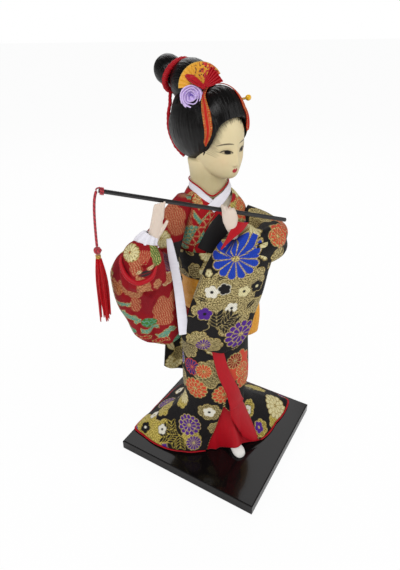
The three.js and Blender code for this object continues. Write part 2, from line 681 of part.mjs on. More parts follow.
// Obi at the back: the knot, the brocade tail on the right and the orange loop on the left
const KNOT_BOTTOM = 164;
const KNOT = [
  [KNOT_BOTTOM, -24, 8, 21, 4], [168, -27, 11, 21.5, 6], [186, -27, 11, 21, 6.5], [195, -25, 9, 19.5, 5.5],
  [199, -20, 4, 19, 3],
];
part(stand, "obi_knot", clear(hanging(KNOT, 12, 5, 4, 0), obi, sash), "blackBrocade");
const BOW = [
  [91, 23, 33, 17, 2], [95, 15, 38, 17, 4.2], [110, 10, 39, 17.5, 5], [130, 7, 37, 18.5, 5],
  [150, 3, 30, 20, 4.5], [KNOT_BOTTOM - GAP, 1, 20, 21.5, 3.5],
];
part(stand, "obi_bow", clear(hanging(BOW, 14, 6, 3, 0.8), sash), "orange");
const TAIL_TOP = KNOT_BOTTOM - GAP;
const TAIL_BOTTOM = 62;
function tailGrid(out) {
  return steps(0, 1, 5).map((v) => steps(0, 1, 8).map((u) => {
    const wide = lerp(36, 28, v);
    const x = lerp(-10, -10 - wide, u);
    const wave = 1.4 * Math.cos(3 * Math.PI * u) * (1 - 0.6 * v) - 5 * u * u;
    return vec(x - 2 * (1 - v), 20.5 + wave + out, lerp(TAIL_BOTTOM, TAIL_TOP, v));
  }));
}
part(stand, "obi_tail", slab(tailGrid(CLOTH), tailGrid(0)), "blackBrocade");

// Right sleeve: the bag that hangs from the raised arm, the rolled cuff, the white strip and the undersleeve
const STRIP = [[128, -38.8, -31.6], [183.5, -45, -37], [210.5, -47, -43]];
function stripGrid(y) {
  return steps(STRIP[0][0], STRIP[2][0], 6).map((z) => {
    const [left, right] = [1, 2].map((column) => between(STRIP, z, column));
    return [vec(left, y, z), vec(right, y + 1.5, z)];
  });
}
const strip = part(stand, "sleeve_right_strip", slab(stripGrid(-28.5), stripGrid(-28.5 + TRIM)), "white");
const cuff = limb([
  [-64.6, -44, 189, 11.6, 9.4], [-64.6, -43.6, 191, 13, 10.8], [-64, -42, 200, 13, 10.6],
  [-61.6, -39.6, 211.5, 9.2, 8],
],
  16, 6, vec(1, 0, 0));
const undersleeve = limb([[-61.2, -39.2, 213, 8.2, 7], [-58.6, -38.8, 218, 4.6, 3.6]], 12, 2, vec(1, 0, 0));
part(stand, "undersleeve_right", clear(undersleeve, hands[0], wires[0], cuff), "white");
const RIGHT_BAG = [
  [128, -57, -42, -22, 5], [132, -65, -38, -22, 7.5], [140, -72, -37, -23, 9], [153, -76, -38.5, -24, 10.5],
  [166, -81, -40, -25, 11.5], [178, -83, -42, -26, 12.5], [188, -83.5, -43, -26, 13],
  [196, -79, -43, -22, 12],
  [205, -63, -36, -16, 10.5], [214, -50, -30, -10, 9.5], [222, -42, -26, -6, 8.5], [229, -34, -25, -3.5, 6],
];
part(
  stand,
  "sleeve_right",
  clear(hanging(RIGHT_BAG, 18, 10, 5, 1.6), bodices[0], trunkRaw, cuff, strip, wires[0]),
  "redBrocade",
);
part(stand, "sleeve_right_cuff", clear(cuff, wires[0], hands[0]), "redBrocade");

// Left sleeve: the arm's part with its lined mouth, and the bag that hangs from it in front of the figure
const armSleeve = limb([
  [12, -2.5, 211, 8.5, 8.5], [21.5, -8, 206, 10, 9.5], [27.5, -19, 201, 12.5, 11], [22, -30, 201.5, 13, 11],
  [12, -36.5, 201, 13, 10], [4, -39.4, 203.5, 12.5, 8.5], [-2.5, -40.6, 209, 12, 6.5],
], 12, 9, vec(0, 0, 1));
const mouth = limb([[-2.9, -40.7, 209.4, 11, 5.6], [-4, -41, 210.4, 10.4, 5.2]], 12, 1, vec(0.65, 0, 0.75));
part(
  stand,
  "sleeve_left_arm",
  clear(armSleeve, bodices[1], trunkRaw, hands[1], wires[1], flute),
  "blackBrocade",
);
part(stand, "sleeve_left_lining", clear(mouth, armSleeve, hands[1], wires[1]), "red");
const LEFT_BAG = [
  [120, -16, -5, -33.5, 3], [124, -25, 4, -34, 4.5], [130, -33, 7.5, -34.5, 5.5], [138, -40, 11, -35, 6],
  [150, -37, 13.5, -35.5, 6.5], [160, -34.5, 15, -36, 7], [172, -31, 20, -36.5, 7.5],
  [185, -26, 24.5, -36.5, 8],
  [195, -20, 27, -36, 8.5], [203, -14, 24, -36, 8],
];
part(
  stand,
  "sleeve_left",
  clear(hanging(LEFT_BAG, 20, 9, 5, 1), armSleeve, mouth, hands[1], strip),
  "blackBrocade",
);

// Head: face, neck and the peg that turns in the trunk.
// The head's own axes are +X to its left and -Y forwards.
const FACE = [
  [-18.6, -11, 3.2, 3.2], [-17, -8.6, 7.4, 7.8], [-14, -5.4, 10.6, 11.6], [-9.5, -2.8, 13.4, 15],
  [-4, -1, 15.5, 17.2],
  [2, 0, 16.4, 18], [10, 0.5, 16.2, 18.4], [18, 1, 13.5, 16.5], [24, 2, 8.5, 11], [26.5, 2, 4, 5],
];
const nose = ball([0, -17.3, -6.6], [1.7, 2.6, 3.2], 6, 5);
const faceSolid = loft(FACE.map(([z, y, rx, ry]) => Array.from({ length: 16 }, (_, i) => {
  const a = (2 * Math.PI * i) / 16;
  return vec(rx * Math.cos(a), y + ry * Math.sin(a), z);
})));
const toHead = headGroup.matrix.clone().invert();
const inHead = (solid) => solidOf(geometryOf(solid).applyMatrix4(toHead));
const neck = turned([
  [0, SHOULDER + GAP], [NECK_FLARE, SHOULDER + GAP], [NECK_FLARE, SHOULDER + 1.8],
  [NECK_RADIUS, SHOULDER + 4.3], [NECK_RADIUS, NECK_TOP], [0, NECK_TOP],
], NECK_X, NECK_Y, 18);
const headRaw = [faceSolid, inHead(neck)];
part(headGroup, "head", clear(join(...headRaw, nose), inHead(peg)), "skin");
part(headGroup, "neck_peg", inHead(peg), "wood");

// Hair: front, sides and back over pads, the topknot and the bun behind it
const HAIRLINE_WIDTH = 14.5;
const HAIRLINE_HEIGHT = 19.8;
const HAIRLINE_POWER = 2.6;
const HAIRLINE_BACK = -5;
const arch = (w) => Math.sign(w) * Math.abs(w) ** (2 / HAIRLINE_POWER);
const hairline = new THREE.Shape(steps(0, 2 * Math.PI, 20).slice(0, -1).map((a) => {
  return new THREE.Vector2(HAIRLINE_WIDTH * arch(Math.cos(a)), HAIRLINE_HEIGHT * arch(Math.sin(a)));
}));
const faceWindow = solidOf(new THREE.ExtrudeGeometry(hairline, { depth: 30, bevelEnabled: false })
  .rotateX(Math.PI / 2).translate(0, HAIRLINE_BACK, 0));
const frontHair = ball([0, -1, 12], [18, 17, 23.5], 16, 9);
const SIDE_TILT = -0.24;
const sideHair = [-1, 1].map((side) => {
  const geometry = new THREE.SphereGeometry(1, 12, 9);
  geometry.rotateX(Math.PI / 2);
  geometry.scale(11, 23.5, 19);
  geometry.rotateX(SIDE_TILT);
  geometry.translate(side * 10.5, 9, 10.5);
  return solidOf(geometry);
});
const backHair = ball([0, 15, 11], [18, 21.5, 22], 12, 7);
const topknot = ball([0, 25, 33.6], [12.5, 16.5, 14], 12, 8);
const RIBBON_TILT = 0.42;
const bunRibbonGeometry = new THREE.TorusGeometry(10.6, 1.9, 5, 16);
bunRibbonGeometry.rotateX(Math.PI / 2 + RIBBON_TILT);
bunRibbonGeometry.translate(0, 38.6, 35.6);
const bunRibbon = solidOf(bunRibbonGeometry);
const bun = ball([0, 49, 37.6], [9.2, 11, 9.8], 12, 8);
const pinStick = limb([[13, 0, 25, 0.7, 0.7], [21.5, -3.4, 26.2, 0.7, 0.7]], 6, 1);
const hairpin = join(pinStick, ball([22.4, -3.6, 26.3], [1.9, 1.9, 1.9], 7, 5));
part(headGroup, "hair_front", clear(frontHair.subtract(faceWindow), ...headRaw, hairpin), "hair");
["right", "left"].forEach((name, i) => {
  const beyond = solidOf(new THREE.BoxGeometry(40, 80, 80).translate((i ? -20 : 20), 0, 0));
  const half = sideHair[i].subtract(beyond).subtract(faceWindow);
  part(headGroup, `hair_side_${name}`, clear(half, ...headRaw, frontHair, hairpin), "hair");
});
part(
  headGroup,
  "hair_back",
  clear(backHair.subtract(faceWindow), ...headRaw, frontHair, ...sideHair),
  "hair",
);
part(headGroup, "topknot", clear(topknot, frontHair, backHair, ...sideHair, bunRibbon), "hair");
part(headGroup, "bun", clear(bun, topknot, bunRibbon), "hair");
part(headGroup, "bun_ribbon", clear(bunRibbon, backHair, ...sideHair), "red");
part(headGroup, "hairpin", hairpin, "gold");

// Red bands on the hair
const hairCord = [-1, 1].map((side) => tube([
  [-7.5, 38, 24], [-10.5, 34.2, 20], [-12, 34.4, 14], [-12.6, 33.6, 5.5], [-12, 28, -4.5],
  [-10, 20.5, -10.5],
].map(([x, y, z]) => [-side * x, y, z]), 1.1, 6, 9));
["right", "left"].forEach((name, i) => {
  part(
    headGroup,
    `hair_cord_${name}`,
    clear(hairCord[i], backHair, ...sideHair, bunRibbon, bun, topknot),
    "red",
  );
});
// Fan, its red ribbons and the lilac rosette, on the right of the topknot
const FAN_AT = [-10.8, 4, 35];
const FAN_RADIUS = 13.6;
const fanFrame = new THREE.Matrix4().makeBasis(
  vec(0.62, -0.78, 0), vec(0.2, 0.16, 0.966), vec(-0.754, -0.599, 0.256),
);
fanFrame.setPosition(...FAN_AT);
const fanOutline = new THREE.Shape();
fanOutline.moveTo(-2, -7);
fanOutline.lineTo(2, -7);
fanOutline.lineTo(2, 0);
fanOutline.absarc(0, 0, FAN_RADIUS, rad(34), rad(186), false);
fanOutline.lineTo(-2, 0);
fanOutline.closePath();
const fanForm = { depth: TRIM, bevelEnabled: false, curveSegments: 12 };
const fanSolid = solidOf(new THREE.ExtrudeGeometry(fanOutline, fanForm).applyMatrix4(fanFrame));
const inFan = (x, y, z) => vec(x, y, z).applyMatrix4(fanFrame).toArray();
const fanLimb = (stations, count) => {
  return limb(stations.map(([x, y, z, ...size]) => [...inFan(x, y, z), ...size]), 10, count, vec(0, 0, 1));
};
const bow = fanLimb([
  [-7.5, 4.6, 3.4, 2.4, 1.4], [-4.5, 3.8, 4.2, 3.4, 2.2], [0.4, 1, 3.6, 1.6, 1.6], [2.4, 0, 3.4, 1.4, 1.2],
], 8);
const pleats = fanLimb([[3.4, 0.6, 3, 1.5, 1], [6.6, 3.8, 2.6, 3.8, 0.9], [10.2, 7.4, 2.2, 5.6, 0.9]], 4);
const hairAll = [frontHair, ...sideHair, topknot];
part(headGroup, "fan_comb", clear(fanSolid, ...hairAll), "gold");
part(headGroup, "bow_ribbon", clear(bow, frontHair, topknot, fanSolid), "red");
part(headGroup, "pleated_ribbon", clear(pleats, frontHair, topknot, fanSolid, bow), "red");
const rosetteGeometry = new THREE.SphereGeometry(1, 12, 6);
rosetteGeometry.scale(7.4, 7.4, 2.8);
rosetteGeometry.lookAt(vec(-0.8, -0.52, 0.3));
rosetteGeometry.translate(-16.4, 6, 29.6);
const rosette = solidOf(rosetteGeometry);
part(headGroup, "ribbon_rosette", clear(rosette, ...hairAll, fanSolid), "lilac");

// Gold-edged ribbon over the crown
const dome = [frontHair, ...sideHair];
const RIBBON_WIDTH = 4.4;
const ribbonCut = solidOf(new THREE.BoxGeometry(60, RIBBON_WIDTH, 60)
  .translate(0, 0, 30).rotateX(-0.45).translate(0, -12.5, 6));
const frontRibbon = dome.reduce((rest, ball) => rest.subtract(grown(ball, GAP)),
  join(...dome.map((ball) => grown(ball, GAP + TRIM))).intersect(ribbonCut));
part(headGroup, "front_ribbon", clear(frontRibbon, ...headRaw, topknot, hairpin, fanSolid, rosette), "red");

// Tassel: the turns of cord on the flute's end, the hanging cord, the knot, the binding and the strands
const fluteRun = vec(...FLUTE_END).sub(vec(...FLUTE_START)).normalize();
const loopIn = FLUTE_RADIUS + GAP + 0.15;
const loopProfile = [
  [loopIn, 0], [loopIn + LOOP_WALL, 0], [loopIn + LOOP_WALL, LOOP_WIDTH], [loopIn, LOOP_WIDTH],
  [loopIn, 0],
];
const loopGeometry = new THREE.LatheGeometry(loopProfile.map(([r, y]) => new THREE.Vector2(r, y)), 14);
loopGeometry.applyQuaternion(new THREE.Quaternion().setFromUnitVectors(vec(0, 1, 0), fluteRun));
loopGeometry.translate(...vec(...FLUTE_START).addScaledVector(fluteRun, 0.5).toArray());
part(tasselLoop, "tassel_loop", solidOf(loopGeometry), "red");
const CORD = [
  [-86.6, -40, 247.6], [-87.6, -40, 244.4], [-88.5, -40, 238], [-89.1, -40, 229],
  [-89.4, -40, 221], [-89.5, -40, 216],
];
const loopRaw = solidOf(loopGeometry);
part(tassel, "tassel_cord", clear(tube(CORD, CORD_RADIUS, 8, 9), loopRaw, flute), "red");
const [knotX, knotY, cordEnd] = CORD[CORD.length - 1];
const knotZ = cordEnd - GAP - KNOT_RADIUS;
const knotRadii = [KNOT_RADIUS, KNOT_RADIUS, KNOT_RADIUS];
part(tassel, "tassel_knot", ball([knotX, knotY, knotZ], knotRadii, 10, 8), "red");
const wrapTop = knotZ - KNOT_RADIUS - GAP;
const wrapFoot = wrapTop - WRAP_HEIGHT;
const wrapOutline = [[0, wrapFoot], [WRAP_RADIUS, wrapFoot], [WRAP_RADIUS, wrapTop], [0, wrapTop]];
part(tassel, "tassel_wrap", turned(wrapOutline, knotX, knotY, 10), "gold");
const strandTop = wrapTop - WRAP_HEIGHT - GAP;
const STRANDS = [[0, 0.45], [0.1, 0.8], [0.45, 1], [0.85, 1.02], [1, 0.9]];
const strands = loft(STRANDS.map(([down, wide]) => Array.from({ length: 20 }, (_, i) => {
  const a = (2 * Math.PI * i) / 20;
  const r = TASSEL_RADIUS * wide * (i % 2 ? 1 : 0.86);
  return vec(knotX + r * Math.cos(a), knotY + r * Math.sin(a), strandTop - down * TASSEL_LENGTH);
})));
part(tassel, "tassel_strands", strands, "red");

export default doll;
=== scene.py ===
"""A geisha doll in brocade on a lacquered board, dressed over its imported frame.

The file is laid out as an add-on and is run as a script. Lengths inside the shape functions are
millimetres, and a mesh is turned into metres where it is made.
"""

import bpy
import numpy as np
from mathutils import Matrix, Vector


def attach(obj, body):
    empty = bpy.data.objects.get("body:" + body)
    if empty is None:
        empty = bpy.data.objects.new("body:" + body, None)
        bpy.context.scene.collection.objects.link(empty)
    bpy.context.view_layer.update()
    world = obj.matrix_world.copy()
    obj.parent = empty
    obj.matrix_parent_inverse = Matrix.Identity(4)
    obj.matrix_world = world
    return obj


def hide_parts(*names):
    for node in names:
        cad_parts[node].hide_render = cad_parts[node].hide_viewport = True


bl_info = {
    "name": "Geisha doll",
    "version": (1, 0, 0),
    "blender": (4, 5, 0),
    "location": "View3D > Sidebar > Doll",
    "description": "Makes the doll's clothes, hair, face and ornaments, and the stage",
    "category": "Object",
}

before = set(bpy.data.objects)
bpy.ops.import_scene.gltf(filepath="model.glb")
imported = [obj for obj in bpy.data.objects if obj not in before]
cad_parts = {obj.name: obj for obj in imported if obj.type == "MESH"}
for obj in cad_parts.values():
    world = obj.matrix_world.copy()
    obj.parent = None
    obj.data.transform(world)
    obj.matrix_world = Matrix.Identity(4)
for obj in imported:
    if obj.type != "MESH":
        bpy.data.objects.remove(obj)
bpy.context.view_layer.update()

MM = 0.001

# Clearances and cloth, the same as in the part
GAP = 0.3
CLOTH = 1.2
TRIM = 0.8
FLOOR = 9.8
KNEE = 62
NOTCH_TOP = 57
SKIRT_TOP = 146
SASH_BOTTOM = 147
OBI_BOTTOM = 173
OBI_TOP = 193.6
UNDER = CLOTH + GAP
OVER = UNDER + TRIM + GAP
OBI_OUT = OVER + 1.6

# The figure under its clothes: height, middle x and y, half width, half depth
FIGURE = np.array([
    [9.5, -6, -9, 23.5, 21.5],
    [30, -6.5, -8.5, 23.5, 20.5],
    [62, -7.3, -8, 24.3, 19.6],
    [75, -6.8, -7.8, 26.2, 20.4],
    [110, -7.2, -7, 25, 19.8],
    [140, -7.5, -6, 23.2, 18.6],
    [165, -8, -5, 22, 17.2],
    [185, -8.5, -4, 22.5, 16.6],
    [205, -9, -3, 23.6, 16],
    [217, -9.6, -0.6, 22.6, 14.9],
    [226, -10.4, 1.8, 17.4, 14],
    [231, -11, 3, 13.6, 13],
    [236, -11, 3, 12.2, 12.1],
    [245, -11, 3, 12, 12],
])

# The hem on the board, once round
HEM = np.array([
    [-78, 11], [-70.5, 0.5], [-57, -16], [-41, -25], [-27, -29], [-17, -29], [-4, -31],
    [12, -31], [30, -30], [50, -15], [74, 9], [60, 26], [42, 43], [24, 54],
    [8, 60], [-8, 60], [-24, 57], [-42, 43], [-60, 27],
], float)
FLARE_POWER = 1.8
# Folds of the train: angle in degrees, depth, width in degrees
TRAIN_FOLDS = [[224, 6, 12], [342, 5, 10], [128, 5, 12], [92, 4, 9], [52, 5, 12]]

# Head: its middle, and its turn, nod and lean in degrees
HEAD_AT = np.array([-7, -1, 260.0])
HEAD_TURN = 26.6
HEAD_NOD = 3.5
HEAD_LEAN = -1.5

# The camera that was solved from the photograph's board, in metres and radians
CAMERA_AT = (-0.0908, -0.2871, 0.3287)
CAMERA_TURN = (1.046039, 0.00231, -0.249749)
SENSOR_WIDTH = 36
# Half side of the floor, in millimetres, and how far it lies below the board
FLOOR_REACH = 9000
FLOOR_DROP = 0.02
# How bright the floor looks to the camera, next to pure white
PAPER_GLOW = 0.94


def between(stations, at):
    """Smooth values between stations, as a cubic whose slopes are the harmonic means of its
    neighbours'.
    """
    stations = np.asarray(stations, float)
    keys, values = stations[:, 0], stations[:, 1:]
    step = np.diff(keys)[:, None]
    slope = np.diff(values, axis=0) / step
    tangent = np.empty_like(values)
    tangent[0], tangent[-1] = slope[0], slope[-1]
    product, total = slope[:-1] * slope[1:], slope[:-1] + slope[1:]
    tangent[1:-1] = np.where(product > 0, 2 * product / np.where(total == 0, 1, total), 0)
    at = np.clip(np.asarray(at, float), keys[0], keys[-1])
    i = np.clip(np.searchsorted(keys, at, side="right") - 1, 0, len(keys) - 2)
    t = ((at - keys[i]) / (keys[i + 1] - keys[i]))[..., None]
    rise = (values[i + 1] - values[i]) * t * t * (3 - 2 * t)
    bend = step[i] * (tangent[i] * t * (1 - t) ** 2 - tangent[i + 1] * t * t * (1 - t))
    return values[i] + rise + bend


def along(stations, t):
    """A smooth run through stations that are evenly keyed from 0 to 1."""
    stations = np.asarray(stations, float)
    keys = np.linspace(0, 1, len(stations))[:, None]
    return between(np.hstack([keys, stations]), t)


def spread(u, v):
    """A grid of two parameters: rows follow v, columns follow u."""
    return np.meshgrid(u, v)


def circle(count):
    """Evenly spaced angles once round, without the last."""
    return np.linspace(0, 2 * np.pi, count, endpoint=False)


def power_of(value, power):
    """A power that keeps its sign, which squares off a circle or a cosine."""
    return np.sign(value) * np.abs(value) ** power


def unit(a):
    """Vectors at a length of 1."""
    return a / np.maximum(np.linalg.norm(a, axis=-1, keepdims=True), 1e-12)


def lattice(x, y, seed):
    """A repeatable number from 0 to 1 for each whole point, from the fraction of a sine."""
    value = np.sin(x * 127.1 + y * 311.7 + seed * 74.7) * 43758.5453
    return value - np.floor(value)


def noise(x, y, seed=0):
    """Smooth noise from 0 to 1: lattice numbers blended with a cubic step."""
    i, j = np.floor(x), np.floor(y)
    f, g = x - i, y - j
    f, g = f * f * (3 - 2 * f), g * g * (3 - 2 * g)
    low = lattice(i, j, seed) * (1 - f) + lattice(i + 1, j, seed) * f
    high = lattice(i, j + 1, seed) * (1 - f) + lattice(i + 1, j + 1, seed) * f
    return low * (1 - g) + high * g


def hem_reach(angle):
    """Distance of the hem from the legs' axis, straight between the hem's corners and then eased.
    """
    middle = FIGURE[0, 1:3]
    away = HEM - middle
    turn = np.arctan2(away[:, 1], away[:, 0]) % (2 * np.pi)
    order = np.argsort(turn)
    turn, reach = turn[order], np.hypot(*away[order].T)
    turn = np.concatenate([turn - 2 * np.pi, turn, turn + 2 * np.pi])
    at = np.asarray(angle) % (2 * np.pi)
    shares = [(-0.03, 0.25), (0, 0.5), (0.03, 0.25)]
    return sum(share * np.interp(at + off, turn, np.tile(reach, 3)) for off, share in shares)


def trunk(angle, z):
    """A point of the legs or trunk: an ellipse whose middle and radii run smoothly with height."""
    x, y, rx, ry = np.moveaxis(between(FIGURE, z), -1, 0)
    return np.stack([x + rx * np.cos(angle), y + ry * np.sin(angle), z + 0 * angle], -1)


def dress(angle, z):
    """The trunk with the train: below the knee it spreads to the hem as a power of the depth, less
    its folds.
    """
    point = trunk(angle, z)
    middle = between(FIGURE, z)[..., :2]
    away = point[..., :2] - middle
    reach = np.linalg.norm(away, axis=-1)
    down = np.clip((KNEE - z) / (KNEE - FLOOR), 0, 1)
    turn = np.arctan2(away[..., 1], away[..., 0])
    folds = 0
    for at, depth, width in TRAIN_FOLDS:
        off = (np.degrees(turn) - at + 180) % 360 - 180
        folds = folds + depth * np.exp(-((off / width) ** 2))
    ripple = 1.1 * np.sin(9 * turn + 2.2 * np.sin(2 * turn)) + 0.6 * np.sin(17 * turn + 1)
    more = np.maximum(hem_reach(turn) - reach, 0) * down**FLARE_POWER
    more = more + (ripple - 4 * folds) * down * (1 - down)
    scale = np.maximum(reach + more, reach) / reach
    point[..., :2] = middle + away * scale[..., None]
    return point


def out_from(surface, angle, z, out):
    """A surface moved out along its own normal, which is the cross product of its two slopes."""
    turn, lift = 1e-3, 0.05
    along_it = surface(angle + turn, z) - surface(angle - turn, z)
    up_it = surface(angle, z + lift) - surface(angle, z - lift)
    return surface(angle, z) + unit(np.cross(along_it, up_it)) * np.asarray(out)[..., None]


def cloth(place, out, nu, nv, surface=dress):
    """Cloth on the figure: place gives degrees and height at u and v, and out the distance from the
    figure.
    """
    u, v = spread(np.linspace(0, 1, nu), np.linspace(0, 1, nv))
    angle, z = place(u, v)
    off = out(u, v) if callable(out) else np.full(u.shape, float(out))
    return out_from(surface, np.radians(angle), z + 0 * u, off)


def band_place(line, surface=dress):
    """Where a band lies: across its line by its width, solved in the surface's own two slopes."""

    def place(u, v):
        d = 1e-3
        angle, z, width = np.moveaxis(along(line, u), -1, 0)
        before, after = along(line, np.clip(u - d, 0, 1)), along(line, np.clip(u + d, 0, 1))
        run = surface(np.radians(after[..., 0]), after[..., 1])
        run = unit(run - surface(np.radians(before[..., 0]), before[..., 1]))
        per_degree = surface(np.radians(angle + 0.5), z) - surface(np.radians(angle - 0.5), z)
        per_mm = surface(np.radians(angle), z + 0.5) - surface(np.radians(angle), z - 0.5)
        across = np.cross(unit(np.cross(per_degree, per_mm)), run) * (width * (v - 0.5))[..., None]
        aa, ab, bb = (np.sum(a * b, -1) for a, b in
                      [(per_degree, per_degree), (per_degree, per_mm), (per_mm, per_mm)])
        pa, pb = np.sum(across * per_degree, -1), np.sum(across * per_mm, -1)
        det = aa * bb - ab * ab
        return angle + (pa * bb - pb * ab) / det, z + (pb * aa - pa * ab) / det

    return place


def rings(stations, sides, count, wide, power=1.0, ruffle=None):
    """A limb: rings square to a smooth run of points, with their half width and half depth from the
    stations.
    """
    t = np.linspace(0, 1, count)
    d = 1e-3
    at = along(stations, t)
    run = unit(along(stations, np.clip(t + d, 0, 1))[:, :3]
               - along(stations, np.clip(t - d, 0, 1))[:, :3])
    side = unit(np.cross(run, np.asarray(wide, float)))
    rise = np.cross(run, side)
    a = circle(sides)[None, :, None]
    c, s = np.cos(a), np.sin(a)
    c, s = power_of(c, power), power_of(s, power)
    more = 0 if ruffle is None else ruffle(a, t[:, None, None])
    return (at[:, None, :3] + side[:, None] * (at[:, None, 4:5] + more) * c
            + rise[:, None] * (at[:, None, 3:4] + more) * s)


def hanging(stations, sides, count, ripple):
    """A hanging bag: level sections whose front and back are flattened ellipses, with ripples added
    to the depth.
    """
    z = np.linspace(stations[0][0], stations[-1][0], count)
    left, right, y, depth = (c[:, None] for c in between(stations, z).T)
    a = circle(sides)[None, :]
    hang = 1 - (z[:, None] - z[0]) / (z[-1] - z[0])
    x = (left + right) / 2 + (right - left) / 2 * np.cos(a)
    flat = power_of(np.sin(a), 0.75)
    y = y + (depth + ripple(a, hang, x)) * flat
    return np.stack([x, y, z[:, None] + 0 * a], -1)


def head_matrix():
    """The head's turn, lean and nod, in that order, as the rows of one matrix."""
    nod, lean, turn = np.radians([HEAD_NOD, HEAD_LEAN, HEAD_TURN])
    x = np.array([[1, 0, 0], [0, np.cos(nod), -np.sin(nod)], [0, np.sin(nod), np.cos(nod)]])
    y = np.array([[np.cos(lean), 0, np.sin(lean)], [0, 1, 0], [-np.sin(lean), 0, np.cos(lean)]])
    z = np.array([[np.cos(turn), -np.sin(turn), 0], [np.sin(turn), np.cos(turn), 0], [0, 0, 1]])
    return z @ x @ y


HEAD = head_matrix()


def from_head(points):
    """Points in the head's own axes, in the doll's."""
    return np.asarray(points, float) @ HEAD.T + HEAD_AT


def to_head(points):
    """Points of the doll in the head's own axes."""
    return (np.asarray(points, float) - HEAD_AT) @ HEAD


def smooth_line(points, count):
    """Points along a smooth line through a few, evenly spaced by its length."""
    points = np.asarray(points, float)
    fine = along(points, np.linspace(0, 1, 40 * len(points)))
    length = np.concatenate([[0], np.cumsum(np.linalg.norm(np.diff(fine[:, :3], axis=0), axis=1))])
    at = np.linspace(0, length[-1], count)
    return np.stack([np.interp(at, length, column) for column in fine.T], -1)


def tube(line, radius, sides=8):
    """Rings of an even radius carried along a line without twist, closed at both ends."""
    line = np.asarray(line, float)
    radius = np.broadcast_to(np.asarray(radius, float), (len(line),))
    run = unit(np.gradient(line, axis=0))
    side = np.cross(run, [0.31, 0.17, 0.93])
    side = unit(side)
    rise = np.cross(run, side)
    a = circle(sides)[None, :, None]
    return line[:, None] + (side[:, None] * np.cos(a)
                            + rise[:, None] * np.sin(a)) * radius[:, None, None]


def linear(code, thread=0.0):
    """An sRGB hex colour as linear numbers, with the share of gold thread after them."""
    value = np.array([int(code[i:i + 2], 16) for i in (1, 3, 5)]) / 255
    value = np.where(value <= 0.04045, value / 12.92, ((value + 0.055) / 1.055) ** 2.4)
    return np.append(value, thread)


def slopes(points, wrap=False):
    """Normals of a grid: the cross product of its differences along columns and rows."""
    if wrap:
        across = np.roll(points, -1, 1) - np.roll(points, 1, 1)
    else:
        across = np.gradient(points, axis=1)
    return unit(np.cross(across, np.gradient(points, axis=0)))


def surface(name, points, wrap=False, caps=False, flip=False, ink=None, turned=False):
    """A grid of points in millimetres as a smooth mesh.

    Its quads run between rows and columns, wrap joins the last column to the first, and caps
    closes both ends with a fan. The thread coordinates are the distances along rows and columns.
    """
    rows, cols = points.shape[:2]
    r, c = np.arange(rows - 1)[:, None], np.arange(cols if wrap else cols - 1)[None]
    n = (c + 1) % cols
    quads = np.stack([r * cols + c, r * cols + n, (r + 1) * cols + n, (r + 1) * cols + c],
                     -1).reshape(-1, 4)
    across = np.roll(points, -1, 1) - points
    u = np.concatenate([np.zeros((rows, 1)), np.cumsum(np.linalg.norm(across, axis=-1), 1)], 1)
    v = np.concatenate([[0], np.cumsum(np.linalg.norm(np.diff(points, axis=0), axis=-1).mean(1))])
    v = np.repeat(v[:, None], cols + 1, 1)
    wide = cols + 1
    at = np.stack([r * wide + c, r * wide + c + 1, (r + 1) * wide + c + 1, (r + 1) * wide + c],
                  -1).reshape(-1, 4)
    threads = np.stack([v.ravel(), u.ravel()] if turned else [u.ravel(), v.ravel()], -1)
    vertices = points.reshape(-1, 3)
    fans, fan_at = np.zeros((0, 3), int), np.zeros((0, 3), int)
    if caps:
        ring = np.arange(cols)
        after = (ring + 1) % cols
        vertices = np.concatenate([vertices, points[:1].mean(1), points[-1:].mean(1)])
        low = np.stack([after, ring, np.full(cols, rows * cols)], -1)
        high = np.stack([ring + (rows - 1) * cols, after + (rows - 1) * cols,
                         np.full(cols, rows * cols + 1)], -1)
        fans = np.concatenate([low, high])
        base = (rows - 1) * wide
        fan_at = np.concatenate([
            np.stack([ring + 1, ring, ring], -1),
            np.stack([base + ring, base + ring + 1, base + ring], -1),
        ])
    if flip:
        quads, at, fans, fan_at = quads[:, ::-1], at[:, ::-1], fans[:, ::-1], fan_at[:, ::-1]
    return mesh_of(name, vertices, quads, fans, np.concatenate([threads[at].reshape(-1, 2),
                                                                 threads[fan_at].reshape(-1, 2)]),
                   ink)


def mesh_of(name, vertices, quads, fans, threads, ink=None):
    """Puts whole arrays into a new mesh object: corners, four- and three-sided faces, threads and
    ink.
    """
    mesh = bpy.data.meshes.new(name)
    corners = np.concatenate([quads.ravel(), fans.ravel()]).astype(np.int32)
    totals = np.concatenate([np.full(len(quads), 4), np.full(len(fans), 3)]).astype(np.int32)
    starts = np.concatenate([[0], np.cumsum(totals)[:-1]]).astype(np.int32)
    mesh.vertices.add(len(vertices))
    mesh.vertices.foreach_set("co", (np.asarray(vertices) * MM).astype(np.float32).ravel())
    mesh.loops.add(len(corners))
    mesh.loops.foreach_set("vertex_index", corners)
    mesh.polygons.add(len(totals))
    mesh.polygons.foreach_set("loop_start", starts)
    mesh.polygons.foreach_set("loop_total", totals)
    mesh.polygons.foreach_set("use_smooth", np.ones(len(totals), bool))
    layer = mesh.uv_layers.new(name="threads")
    layer.data.foreach_set("uv", np.asarray(threads, np.float32).ravel())
    mesh.update(calc_edges=True)
    piece = bpy.data.objects.new(name, mesh)
    bpy.context.scene.collection.objects.link(piece)
    if ink is not None:
        put_ink(piece, ink)
    return piece


def put_ink(piece, ink):
    """Stores a colour and a share of gold thread for each vertex; the middles of caps take their
    ends' colour.
    """
    count = len(piece.data.vertices)
    ink = ink.reshape(-1, 4)
    if len(ink) < count:
        ink = np.concatenate([ink, ink[[0, -1]]])
    layer = piece.data.attributes.new("ink", "FLOAT_COLOR", "POINT")
    layer.data.foreach_set("color", ink.astype(np.float32).ravel())


